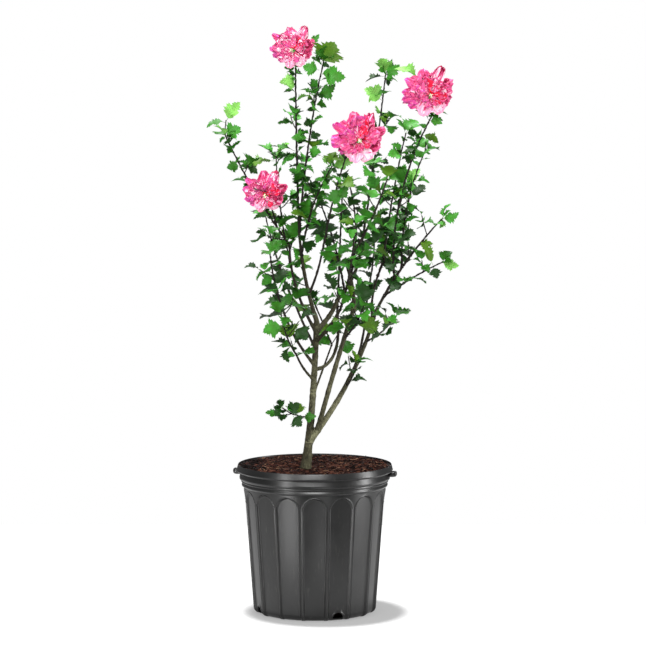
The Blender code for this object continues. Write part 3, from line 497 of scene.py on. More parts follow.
# The plant's limbs, as in the solids, in millimetres: parent, share of its length where the limb
# starts, tip, bow, radius at the foot and at the tip
limbs = {
    "trunk": (None, 0, (3, -10, 516), (3, 0, 0), 9.2, 5.2),
    "right_bough": ("trunk", 0.19, (108, 0, 535), (11, 0, -6), 5.8, 2.9),
    "right_high_bough": ("right_bough", 1, (158, 0, 622), (-4, 0, -3), 2.8, 2.1),
    "far_bough": ("right_bough", 0.94, (122, 50, 620), (-8, 4, 0), 2.5, 1.8),
    "back_right_bough": ("right_bough", 0.52, (95, 85, 560), (6, 10, -10), 2.7, 1.9),
    "mid_bough": ("right_bough", 0.1, (67, -70, 545), (-2, -10, 0), 4.6, 3.8),
    "mid_high_bough": ("mid_bough", 1, (58, -72, 622), (3, 0, 0), 3.6, 2.6),
    "fork_bough": ("trunk", 0.96, (40, 22, 556), (3, 0, -2), 4.4, 3.4),
    "fork_high_bough": ("fork_bough", 1, (85, 52, 662), (8, 0, -6), 3.1, 2.2),
    "front_bough": ("trunk", 0.89, (44, -62, 547), (3, -4, -2), 3.6, 2.7),
    "back_bough": ("trunk", 0.69, (41, 80, 530), (15, 4, -22), 3.2, 2.3),
    "thin_back_bough": ("trunk", 0.5, (30, 85, 470), (-2, 4, -6), 2.1, 1.6),
    "left_low_bough": ("trunk", 0.62, (-31, -82, 468), (-2, -3, -2), 2.4, 1.8),
    "left_bough": ("trunk", 0.72, (-52, -50, 536), (-5, -2, 0), 2.8, 2.1),
    "left_back_bough": ("trunk", 0.84, (-34, 48, 545), (0, 4, -3), 2.6, 1.9),
    "crown_bough": ("trunk", 1, (-28, 0, 694), (-6, -4, 0), 4, 2.2),
    "left_high_bough": ("trunk", 0.95, (-45, 20, 653), (-11, 8, 0), 2.9, 2),
    "centre_bough": ("crown_bough", 0.36, (14, -48, 652), (2, -4, -2), 2.4, 1.8),
}

# Shoots have more: share where leaves start, joints, every how many joints a spur comes, leaf length
# and seed
shoots = {
    "top_shoot": ("crown_bough", 1, (-34, 4, 972), (-1, 6, 0), 2.1, 1.3, 0.08, 12, 3, 46, 1),
    "second_top_shoot": ("crown_bough", 0.93, (16, -36, 985), (-6, 6, 0), 1.9, 1.1, 0.12, 11, 3, 48, 2),
    "inner_shoot": ("crown_bough", 0.72, (30, -62, 800), (-8, -6, 4), 1.9, 1.1, 0.15, 8, 3, 52, 3),
    "centre_shoot": ("centre_bough", 1, (54, -82, 815), (-3, -3, 0), 1.8, 1.3, 0.06, 8, 2, 54, 4),
    "bent_shoot": ("mid_high_bough", 0.8, (62, -35, 765), (10, 10, 0), 2, 1.2, 0.08, 8, 2, 52, 5),
    "mid_shoot": ("mid_high_bough", 1, (128, -52, 778), (4, -6, -2), 2.4, 1.3, 0.1, 8, 2, 55, 6),
    "tall_back_shoot": ("fork_high_bough", 1, (128, 100, 962), (2, 4, 0), 2.1, 1.1, 0.05, 11, 3, 50, 7),
    "fork_side_shoot": ("fork_high_bough", 0.3, (2, 72, 750), (6, 6, 0), 2, 1.2, 0.15, 7, 2, 56, 8),
    "front_shoot": ("front_bough", 1, (70, -135, 700), (4, -10, -4), 2.2, 1.2, 0.08, 8, 2, 58, 9),
    "back_shoot": ("back_bough", 1, (50, 150, 745), (0, 8, 0), 2.1, 1.2, 0.05, 9, 2, 56, 10),
    "low_back_shoot": ("thin_back_bough", 1, (-25, 135, 610), (0, 6, -4), 1.5, 1.1, 0.05, 7, 2, 54, 11),
    "left_low_shoot": ("left_low_bough", 1, (-58, -125, 545), (-3, -4, -4), 1.7, 1.1, 0.05, 6, 2, 54, 12),
    "left_shoot": ("left_bough", 1, (-78, -75, 648), (-4, 0, 0), 1.9, 1.2, 0.02, 8, 2, 57, 13),
    "left_back_shoot": ("left_back_bough", 1, (-90, 120, 705), (-4, 6, -4), 1.8, 1.1, 0.05, 8, 2, 56, 14),
    "left_tall_shoot": ("left_high_bough", 1, (-158, 2, 852), (-6, -4, 0), 1.9, 1.1, 0.1, 11, 3, 48, 15),
    "left_inner_shoot": ("left_high_bough", 0.55, (-70, 70, 815), (-6, 10, -4), 1.8, 1.1, 0.12, 8, 3, 52, 16),
    "right_shoot": ("right_high_bough", 1, (228, 4, 706), (4, 0, 8), 2, 1.1, 0.1, 6, 2, 50, 17),
    "right_thin_shoot": ("right_high_bough", 0.96, (199, 70, 826), (-12, 4, 0), 1.8, 1, 0.12, 8, 3, 46, 18),
    "right_low_shoot": ("right_high_bough", 0.5, (226, -78, 634), (4, -2, 5), 1.9, 1.1, 0.12, 6, 2, 50, 19),
    "right_front_shoot": ("right_high_bough", 0.78, (206, -36, 888), (-22, -4, 0), 2, 1.3, 0.1, 11, 3, 50, 20),
    "right_inner_shoot": ("far_bough", 1, (163, 48, 856), (-4, -10, 0), 1.8, 1.1, 0.05, 9, 3, 50, 21),
    "far_shoot": ("far_bough", 0.8, (165, 125, 760), (0, 6, -4), 1.7, 1, 0.1, 6, 3, 52, 22),
    "back_right_shoot": ("back_right_bough", 1, (110, 160, 700), (4, 8, -4), 1.8, 1.1, 0.05, 7, 2, 56, 23),
    "right_low_spur": ("right_bough", 0.46, (74, -52, 452), (2, -4, -3), 1.5, 1, 0.25, 4, 2, 44, 25),
    "right_high_spur": ("right_bough", 0.8, (142, -40, 536), (4, -4, -4), 1.6, 1, 0.2, 5, 2, 50, 26),
    "mid_spur": ("mid_bough", 0.78, (86, -118, 560), (2, -4, -4), 1.7, 1, 0.15, 6, 2, 52, 27),
    "low_sprig": ("trunk", 0.36, (-56, -96, 378), (-4, -4, -3), 1.4, 1, 0.4, 4, 2, 32, 24),
}

# Each bloom: shoot, share along it, middle of the flower, which way it faces, and width
blooms = {
    "top_bloom": ("top_shoot", 1, (-43, -24, 1008), (-0.15, -1, 0.15), 78),
    "centre_bloom": ("centre_shoot", 1, (73, -125, 852), (0.05, -1, 0.2), 94),
    "right_bloom": ("right_front_shoot", 1, (197, -78, 929), (0.1, -1, 0.15), 92),
    "left_bloom": ("left_tall_shoot", 0.28, (-91, -40, 753), (-0.1, -1, 0.1), 78),
}


def curvePoints(foot, tip, bow, count):
    shares = [i / count for i in range(count + 1)]
    return [foot.lerp(tip, t) + bow * (4 * t * (1 - t)) for t in shares]


# The point at a share of a line, and which way the line runs there
def readLine(points, share):
    place = share * (len(points) - 1)
    i = min(int(place), len(points) - 2)
    return points[i].lerp(points[i + 1], place - i), (points[i + 1] - points[i]).normalized()


def endRadii(row):
    return [radius / 1000 for radius in row[4:6]]


# Every limb's middle line, from its parent's own line to its tip
def allRoutes():
    foot = Vector((-0.016, -0.052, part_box("trunk")[0].z))
    routes = {}
    for table, span in ((limbs, 0.022), (shoots, 0.036)):
        for name, row in table.items():
            parent, share, tip, bow = row[0], row[1], metres(row[2]), metres(row[3])
            if parent:
                start, heading = readLine(routes[parent], share)
                lead = [start]
                if share == 1:
                    lead.append(start + heading * 2 * endRadii(row)[0])
                count = max(4, round((tip - lead[-1]).length / span))
                routes[name] = lead[:-1] + curvePoints(lead[-1], tip, bow, count)
            else:
                routes[name] = curvePoints(foot, tip, bow, 14)
    return routes


routes = allRoutes()


# Bark: trunk and boughs as one skin that runs smoothly through every fork

barkLook = {
    "step": 0.003,
    "sides": 14,
    "voxel": 0.0009,
    "flare": 0.0020,  # root flare over the first twentieth of the trunk
    "collar": 0.55,  # how much wider a limb is where it leaves its parent
    "collarLength": 0.009,
    "knots": (0.10, 0.34, 0.51, 0.55, 0.66, 0.78, 0.88),
    "knotSwell": 0.13,
    "knotLength": 0.0032,
    "ridge": 0.00030,  # depth of the furrows along the bark
    "ridgeWidth": 0.0022,
    "wart": 0.0005,
    "wartWidth": 0.0058,
    "rings": (0.402, 0.3965, 0.391),  # heights of the pale rings on the trunk
    "ringWidth": 0.0011,
    "paintedLitSide": Vector((0.80, -0.50, 0.30)),  # the side of every limb that is drawn paler, and the far side darker: painted light
    "worn": {  # how pale at the foot, and what it gains from which share of the length over which
        "right_bough": (0.58, ((-0.60, 0.26, 0.20),)),
        "trunk": (-0.06, ((0.26, 0.36, 0.10), (-0.24, 0.68, 0.12))),
    },
    "lowPale": 0.10,  # of the other limbs, below this height and above it
    "highPale": -0.04,
    "paleTo": 0.46,
    "thinTo": 0.0020,  # thinner limbs are nearly black, and that fades over the next 2.6 mm of radius
    "thinFade": 0.0026,
    "oliveFrom": 0.48,  # from this height down thin limbs turn olive too, over 100 mm
}


# A limb is wider at its knots and where it leaves its parent, and the trunk at its root flare
def swollenRadii(b, name, path):
    foot, tip = endRadii(limbs[name])
    radii = []
    walked = 0
    total = sum((after - before).length for before, after in zip(path, path[1:]))
    for i, point in enumerate(path):
        walked += (point - path[i - 1]).length if i else 0
        share = walked / total
        if name == "trunk":
            radius = tip + (foot - tip) * (1 - share) ** 3 + b["flare"] * exp(-share / 0.05)
        else:
            collar = b["collar"] * exp(-walked / b["collarLength"])
            radius = (foot + (tip - foot) * share) * (1 + collar)
        for knot in b["knots"]:
            radius *= 1 + b["knotSwell"] * exp(-(((share - knot) * total / b["knotLength"]) ** 2))
        radii.append(radius)
    return radii


# How pale the skin is, from none to full: weathering on the first bough at its foot and on the trunk along its
# middle and at its rings, and painted light that makes every limb paler on its lit side and darker on the far
# side
def palenessAndPaintedLight(b, name, share, place, normal):
    plain = b["lowPale"] if place.z < b["paleTo"] else b["highPale"]
    pale, changes = b["worn"].get(name, (plain, ()))
    for gain, start, span in changes:
        pale += gain * smoothStep((share - start) / span)
    if name == "trunk":
        for ring in b["rings"]:
            pale += 0.55 * exp(-(((place.z - ring) / b["ringWidth"]) ** 2))
    # painted light: each limb is drawn paler on the side that faces the lit direction and darker away from it
    return pale + 0.32 * normal.dot(b["paintedLitSide"]) + 0.22 * noise.noise(place / 0.012)


# Young bark: thin smooth olive-grey skin, near black on the thin limbs, paler where weathered and, as painted
# light, on each limb's lit side. Its pale breathing flecks are drawn at 1.6 mm to show.
def youngBark():
    material, tree, shader, place = startMaterial("youngSmoothBark", "#5f5c42", 0.82, 1.45, 0.25)
    girth = addNode(tree, "Attribute", {"attribute_name": "girth"}).outputs["Fac"]
    pale = addNode(tree, "Attribute", {"attribute_name": "pale"}).outputs["Fac"]
    long = addNode(tree, "Mapping", {"Scale": (1, 1, 0.25)}, {"Vector": place})
    flecks = addNode(tree, "TexNoise", {"Scale": 1 / 0.0016, "Detail": 4}, {"Vector": long})
    patches = addNode(tree, "TexNoise", {"Scale": 1 / 0.011, "Detail": 3}, {"Vector": place})
    tones = (
        ((0.28, "#171610"), (0.55, "#323224"), (0.80, "#5c5b45")),
        ((0.35, "#110d0b"), (0.60, "#251e19"), (0.80, "#4c3f34")),
        ((0.28, "#504f39"), (0.55, "#757459"), (0.80, "#a4a288")),
    )
    ramps = [addNode(tree, "ValToRGB", {"stops": tone}, {"Fac": flecks}) for tone in tones]
    stout, thin, weatheredAndLit = ramps
    warmth = {"data_type": "RGBA", "blend_type": "MULTIPLY", 7: linearColour("#e4ccb2")}
    warm = addNode(tree, "Mix", warmth, {0: patches, 6: stout})
    # the pale attribute mixes in the pale tone: real weathering, and painted light on each limb's lit side
    agedAndLit = addNode(tree, "Mix", {"data_type": "RGBA"}, {0: pale, 6: warm, 7: weatheredAndLit})
    both = addNode(tree, "Mix", {"data_type": "RGBA"}, {0: girth, 6: thin, 7: agedAndLit})
    bump = addNode(tree, "Bump", {"Strength": 0.4, "Distance": 0.0004}, {"Height": flecks})
    join(shader, {"Base Color": both, "Normal": bump})
    return material


def makeBark(b):
    sheaf = Sheaf()
    samples = []
    for name in limbs:
        path = smoothPath(routes[name], b["step"])
        radii = swollenRadii(b, name, path)
        sheaf.add(*tube(path, radii, b["sides"]))
        for k, (point, radius) in enumerate(zip(path, radii)):
            samples.append((point, radius, name, k / len(path)))
    bark = sheaf.build("trunkAndBoughs", youngBark())
    runModifier(bark, "REMESH", mode="VOXEL", voxel_size=b["voxel"])
    runModifier(bark, "SMOOTH", factor=0.6, iterations=3)
    tree = KDTree(len(samples))
    for i, sample in enumerate(samples):
        tree.insert(sample[0], i)
    tree.balance()
    mesh = bark.data
    girths, palesAndPaintedLight, corners = [], [], []
    for vert, normal in zip(mesh.vertices, [v.normal.copy() for v in mesh.vertices]):
        _, radius, name, share = samples[tree.find(vert.co)[1]]
        place = vert.co / b["ridgeWidth"]
        furrow = noise.noise(Vector((place.x, place.y, place.z * 0.22)))
        warts = max(0, noise.noise(vert.co / b["wartWidth"]) - 0.25)
        relief = (b["ridge"] * furrow + b["wart"] * warts) * min(1, radius / 0.003)
        corners.extend(vert.co + normal * relief)
        low = min(max((b["oliveFrom"] - vert.co.z) / 0.10, 0), 0.8)
        stout = (radius - b["thinTo"]) / b["thinFade"] + low + 0.35 * noise.noise(vert.co / 0.02)
        girths.append(smoothStep(stout))
        # the paleness stored here is part weathering, part painted light
        palesAndPaintedLight.append(min(max(palenessAndPaintedLight(b, name, share, vert.co, normal), 0), 1))
    mesh.vertices.foreach_set("co", corners)
    mesh.attributes.new("girth", "FLOAT", "POINT").data.foreach_set("value", girths)
    mesh.attributes.new("pale", "FLOAT", "POINT").data.foreach_set("value", palesAndPaintedLight)
    mesh.shade_smooth()
    dress(bark, "bark", *limbs)
    print("bark:", len(mesh.polygons), "faces")


makeBark(barkLook)


# Leaves: a wedge-shaped base, three lobes and coarse teeth, on a thin stalk

leafLook = {
    "outline": (  # half width and place along the midrib, as shares of the blade
        *((0.07, 0.02), (0.18, 0.11), (0.30, 0.22), (0.27, 0.26), (0.40, 0.35), (0.35, 0.40)),
        *((0.48, 0.52), (0.38, 0.52), (0.40, 0.62), (0.25, 0.59), (0.20, 0.62), (0.29, 0.72)),
        *((0.20, 0.73), (0.21, 0.83), (0.12, 0.84), (0.10, 0.93), (0.04, 0.94)),
    ),
    "stalk": 0.15,  # share of the leaf's length
    "stalkRadius": 0.00045,
    "twigRadius": 0.0010,
    "twigStep": 0.004,
    "stemStep": 0.0035,
    "jointSwell": 0.34,
    "footSwell": 0.6,  # where a stem leaves its limb, and how fast it fades
    "footLength": 0.005,
    "shake": 0.0004,  # how far a stem strays from its smooth line
    "spurReach": (0.024, 0.044),
    "whips": 0.86,  # scale of the leaves on the whips, which have a spur at every third joint
    "bushy": (0.90, 0.71),  # and on bushy shoots, low in the crown and high in it
    "climb": (0.54, 0.64),  # heights between which the scale of those falls
    "breadth": (0.82, 1.10),
    "uneven": (0.90, 1.10),  # of a tooth against the outline
    "fold": (0.12, 0.80),
    "droop": (0.08, 0.70),
    "twist": (-0.5, 0.5),
    "wave": 0.085,
    "pleat": 0.032,
    "lift": (-22, 38),
    "roll": (-40, 40),
    "turnMore": 1.25,  # blades are rolled further than in the solids
    "spread": (0.84, 1.12),
    "step": radians(137.5),
    "shrink": (1.08, 0.38),  # a leaf's length at the foot of a shoot, and what it loses to the tip
    "last": ((0.5, 0.95), (2.9, 0.80)),  # turn and scale of the two leaves at the tip
    "small": (0.34, 0.70),  # leaves in the axils, as shares of their neighbour's length
    "olive": 0.10,  # share of olive leaves
    "light": (0.12, 0.44, 0.86),  # the light that turns the rest from dark to deep, mid and young
    "kinds": {
        "leafDark": ("#173b0d", 0.55),
        "leafDeep": ("#2c6b18", 0.52),
        "leafMid": ("#3f8a2b", 0.50),
        "leafYoung": ("#73b350", 0.55),
        "leafOlive": ("#4b7519", 0.52),
    },
}

# Leaves that stand out in the photo at the ends of the shoots: foot and tip in millimetres, width,
# roll and kind
markedLeaves = (
    ((11, -36, 980), (34, -50, 1015), 1.45, 20, "leafOlive"),
    ((8, -36, 968), (-17, -50, 974), 1, -30, "leafMid"),
    ((13, -36, 961), (48, -60, 956), 0.9, 30, "leafMid"),
    ((4, -34, 922), (38, -50, 936), 0.7, 50, "leafDeep"),
    ((-33, 0, 940), (-54, -20, 953), 1.2, 10, "leafYoung"),
    ((-12, -10, 1012), (11, -10, 1030), 0.6, 40, "leafMid"),
    ((-157, 0, 878), (-136, -10, 913), 0.9, -15, "leafYoung"),
    ((-157, 0, 876), (-192, -10, 881), 0.7, 55, "leafDeep"),
    ((-158, 2, 852), (-134, -12, 867), 1.1, 20, "leafMid"),
    ((-72, 68, 806), (-118, 55, 808), 0.8, 45, "leafOlive"),
    ((127, 99, 958), (90, 90, 954), 0.8, 50, "leafDark"),
    ((127, 99, 960), (152, 85, 976), 0.8, 40, "leafMid"),
    ((121, 92, 914), (96, 75, 938), 1.1, 0, "leafYoung"),
    ((183, -50, 950), (147, -50, 986), 0.5, 30, "leafYoung"),
    ((226, 3, 705), (256, -10, 710), 0.7, 50, "leafMid"),
    ((222, -76, 632), (252, -85, 626), 0.7, 30, "leafYoung"),
    ((208, -64, 627), (190, -70, 668), 0.6, 20, "leafOlive"),
    ((-33, 5, 825), (-80, -10, 842), 0.5, 50, "leafDeep"),
    ((-34, 5, 820), (-70, -10, 816), 0.6, 60, "leafDark"),
    ((-56, -96, 378), (-73, -104, 371), 1.2, 25, "leafDark"),
    ((-50, -92, 372), (-28, -104, 383), 1, 35, "leafDark"),
    ((-38, -82, 362), (-24, -94, 346), 1.2, 20, "leafDark"),
    ((-20, -70, 356), (0, -84, 362), 0.8, 20, "leafDeep"),
)

# Young ends that reach past a shoot's tip
youngEnds = {"left_tall_shoot": (-157, 0, 880), "right_thin_shoot": (199, 68, 840)}


# Living leaf: thin waxy skin, a soft shine over fine pores, which are drawn at 2.2 mm to show
def livingLeaf(name, colour, roughness):
    material, tree, shader, place = startMaterial(name, colour, roughness, 1.40, 0.3)
    blotch = addNode(tree, "TexNoise", {"Scale": 1 / 0.009, "Detail": 4}, {"Vector": place})
    value = addNode(tree, "MapRange", {"To Min": 0.55, "To Max": 1.40}, {"Value": blotch})
    hue = addNode(tree, "MapRange", {"To Min": 0.480, "To Max": 0.515}, {"Value": blotch})
    drift = {"Value": value, "Hue": hue}
    shade = addNode(tree, "HueSaturation", {"Color": linearColour(colour)}, drift)
    pores = addNode(tree, "TexVoronoi", {"Scale": 1 / 0.0022}, {"Vector": place})
    bump = addNode(tree, "Bump", {"Strength": 0.25, "Distance": 0.0003}, {"Height": pores})
    join(shader, {"Base Color": shade, "Normal": bump})
    return material


def sideOf(heading, angle):
    across = heading.cross(up)
    if across.length < 0.1:
        across = heading.cross(Vector((0, 1, 0)))
    return Matrix.Rotation(angle, 3, heading) @ across.normalized()


# A leaf as drawn by the solids' rule: where it grows, which way it points and faces, how long it is
# and how far up its shoot it stands
def drawLeaf(rng, place, heading, side, length, share):
    lift = radians(rng.uniform(*leafLook["lift"]))
    along = (side * cos(lift) + up * sin(lift) + heading * 0.25).normalized()
    roll = Matrix.Rotation(radians(rng.uniform(*leafLook["roll"]) * leafLook["turnMore"]), 3, along)
    facing = roll @ (up + side * 0.35 - along * 0.10)
    return place, along, facing, length * rng.uniform(*leafLook["spread"]), share


# One leaf at each joint, a turn of 137.5 degrees apart, and every few joints a spur with three
def growShoot(name, points):
    leafy, joints, spurs, size, seed = shoots[name][6:]
    size /= 1000
    most, loss = leafLook["shrink"]
    rng = random.Random(seed)
    turn = rng.uniform(0, tau)
    leaves = []
    twigs = []
    for i in range(joints):
        share = leafy + (0.97 - leafy) * i / (joints - 1)
        place, heading = readLine(points, share)
        side = sideOf(heading, turn + i * leafLook["step"])
        length = size * (most - loss * share)
        if i % spurs == 1 and share < 0.85:
            reach = rng.uniform(*leafLook["spurReach"]) * (1.1 - 0.4 * share)
            along = (side + heading * 0.55 + up * 0.25).normalized()
            end = place + along * reach
            twigs.append((place, end))
            leaves.append(drawLeaf(rng, end - along * 0.001, along, along, length, share))
            middle = place.lerp(end, 0.62)
            for hand in (-1, 1):
                outward = sideOf(along, turn + i + hand * 1.5)
                leaves.append(drawLeaf(rng, middle, along, outward, length * 0.85, share))
        else:
            leaves.append(drawLeaf(rng, place, heading, side, length, share))
    heading = readLine(points, 1)[1]
    for angle, scale in leafLook["last"]:
        side = (sideOf(heading, turn + angle) + heading * 0.9).normalized()
        leaves.append(drawLeaf(rng, points[-1] - heading * 0.001, heading, side, size * scale, 1))
    return leaves, twigs


def leafFrame(place, along, facing):
    y = along.normalized()
    x = y.cross(facing).normalized()
    return Matrix.Translation(place) @ Matrix((x, y, x.cross(y))).transposed().to_4x4()


# The blade is made of quads between its side veins, from the midrib out to the teeth
def bladeShape(rng, length, broad):
    fold = rng.uniform(*leafLook["fold"])
    droop = rng.uniform(*leafLook["droop"])
    twist = rng.uniform(*leafLook["twist"])
    phase = rng.uniform(0, tau)
    start = leafLook["stalk"]
    size = 1 - start

    def at(x, y, tooth):
        sag = -droop * y * y - 0.5 * abs(x) * fold * fold
        ripple = leafLook["wave"] * sin(9 * y + phase + (1 if x > 0 else 2.5)) * abs(x) / 0.4
        rise = fold * abs(x) + twist * x * y + ripple + leafLook["pleat"] * tooth * abs(x) / 0.4
        reach = start + size * (y - 0.4 * droop * y * y)
        return Vector((x * broad, reach, size * (sag + rise))) * length

    corners = [at(0, 0, 0)]
    rows = []
    for k, (x, y) in enumerate(leafLook["outline"]):
        tooth = 1 if k % 2 == 0 else -1
        rows.append(len(corners))
        corners.append(at(0, max(0.01, y - 0.50 * x), 0))
        for side in (-1, 1):
            uneven = side * x * rng.uniform(*leafLook["uneven"])
            corners.append(at(uneven * 0.5, max(0.015, y - 0.23 * x), tooth * 0.6))
            corners.append(at(uneven, y, tooth))
    tip = len(corners)
    corners.append(at(0, 1, 0))
    faces = []
    for a, b in zip(rows, rows[1:]):
        faces.append([a, b, b + 1, a + 1])
        faces.append([a + 1, b + 1, b + 2, a + 2])
        faces.append([b, a, a + 3, b + 3])
        faces.append([b + 3, a + 3, a + 4, b + 4])
    first, last = rows[0], rows[-1]
    faces += [[0, first, first + 1, first + 2], [first, 0, first + 4, first + 3]]
    faces += [[last, tip, last + 2, last + 1], [tip, last, last + 3, last + 4]]
    return corners, faces


# Young light leaves stand at the tips, dark ones low and inside
def leafKind(rng, share, place):
    light = 0.40 * share + 0.5 * (place.z - 0.6) + rng.uniform(-0.45, 0.50)
    if rng.random() < leafLook["olive"]:
        return "leafOlive"
    return list(leafLook["kinds"])[sum(light > edge for edge in leafLook["light"])]


def addLeaf(rng, sheaves, place, along, facing, length, kind, broad=None):
    there = leafFrame(place, along, facing)
    corners, faces = bladeShape(rng, length, broad or rng.uniform(*leafLook["breadth"]))
    sheaves[kind].add([there @ c for c in corners], faces)
    reach = leafLook["stalk"] * length * 1.08
    radius = leafLook["stalkRadius"]
    stalk = [there @ Vector((0, reach * t, -0.06 * reach * sin(pi * t))) for t in (0, 0.33, 0.66, 1)]
    sheaves["stalks"].add(*tube(stalk, [radius * 1.3, radius, radius, radius], 4))


# Green stalk: soft young growth, a little lighter than the blade
def greenStalk():
    stops = ((0.35, "#2f5420"), (0.65, "#6b9343"))
    return clouded("greenLeafStalk", "#4c7430", 0.55, 1.42, 0.5, 0.012, stops=stops)


# Twig bark: smooth and near black, with grey flecks that are drawn at 1.5 mm to show
def twigBark():
    stops = ((0.40, "#0f0c0a"), (0.62, "#241c17"), (0.78, "#4d4036"))
    return clouded("thinTwigBark", "#241d19", 0.78, 1.45, 0.3, 0.0015, 3, stops, bump=(0.6, 0.0003))


# A stem swells at each joint, where leaves stand
def stemShape(name, points):
    share, joints = shoots[name][1], shoots[name][7]
    foot, tip = endRadii(shoots[name])
    path = smoothPath(points, leafLook["stemStep"])
    rng = random.Random(name)
    radii = []
    for i in range(len(path)):
        t = i / (len(path) - 1)
        near = (t * joints * 2) % 1
        swell = leafLook["jointSwell"] * exp(-((min(near, 1 - near) * 5) ** 2))
        radius = (foot + (tip - foot) * t) * (1 + swell + rng.uniform(-0.06, 0.06))
        if share < 1:
            walked = i * leafLook["stemStep"]
            radius *= 1 + leafLook["footSwell"] * exp(-walked / leafLook["footLength"])
        radii.append(radius)
    shaken = [p + Vector([rng.uniform(-1, 1) for _ in range(3)]) * leafLook["shake"] for p in path]
    return tube(shaken, radii, 7)


def twigShape(points):
    path = smoothPath(points, leafLook["twigStep"])
    return tube(path, [leafLook["twigRadius"]] * len(path), 5)


# Small leaves in the axils, and between the joints of a shoot
def addSmallLeaves(rng, sheaves, place, heading, length, count):
    for _ in range(count):
        side = sideOf(heading, rng.uniform(0, tau))
        along = (side + up * rng.uniform(-0.5, 0.8) + heading * 0.4).normalized()
        facing = Matrix.Rotation(rng.uniform(-1.3, 1.3), 3, along) @ up
        small = length * rng.uniform(*leafLook["small"])
        kind = rng.choice(("leafDark", "leafDark", "leafDeep", "leafDeep", "leafMid"))
        addLeaf(rng, sheaves, place, along, facing, small, kind)


def bushyScale(height):
    low, high = leafLook["bushy"]
    start, end = leafLook["climb"]
    return low + (high - low) * smoothStep((height - start) / (end - start))


def makeFoliage():
    sheaves = {kind: Sheaf() for kind in [*leafLook["kinds"], "stalks", "stems"]}
    for name in shoots:
        points = routes[name]
        leafy, joints, spurs, size, _ = shoots[name][6:]
        size /= 1000
        whip = spurs == 3
        rng = random.Random(name + "_leaves")
        sheaves["stems"].add(*stemShape(name, points))
        if name in youngEnds:
            sheaves["stems"].add(*twigShape([points[-2], points[-1], metres(youngEnds[name])]))
        leaves, twigs = growShoot(name, points)
        for start, end in twigs:
            middle = start.lerp(end, 0.5) - up * 0.002
            sheaves["stems"].add(*twigShape([start, middle, end]))
            heading = (end - start).normalized()
            addSmallLeaves(rng, sheaves, middle, heading, size, rng.choice((0, 0, 1)))
        for place, along, facing, length, share in leaves:
            scale = leafLook["whips"] if whip else bushyScale(place.z)
            addLeaf(rng, sheaves, place, along, facing, length * scale, leafKind(rng, share, place))
            few = rng.choice((0, 1, 2) if whip else (0, 0, 0, 0, 0, 1))
            addSmallLeaves(rng, sheaves, place, readLine(points, share)[1], length, few)
        extra = joints * 2 if whip else 0
        for i in range(extra):
            place, heading = readLine(points, leafy + (0.98 - leafy) * (i + rng.random()) / extra)
            addSmallLeaves(rng, sheaves, place, heading, size * 0.8, rng.choice((0, 1, 1)))
    rng = random.Random(41)
    for foot, tip, broad, roll, kind in markedLeaves:
        foot = metres(foot)
        along = metres(tip) - foot
        facing = Matrix.Rotation(radians(roll), 3, along.normalized()) @ Vector((0, -1, 0.5))
        addLeaf(rng, sheaves, foot, along, facing, along.length * 1.08, kind, broad)
    for kind, (colour, roughness) in leafLook["kinds"].items():
        leaves = dress(sheaves[kind].build(kind, livingLeaf(kind, colour, roughness)), "foliage")
        print(kind, len(leaves.data.polygons), "faces")
    dress(sheaves["stalks"].build("leafStalks", greenStalk()), "foliage")
    dress(sheaves["stems"].build("stems", twigBark()), "foliage", *shoots)


makeFoliage()


# Blooms: double flowers of broad ruffled petals, crumpled small ones inside and a cream heart

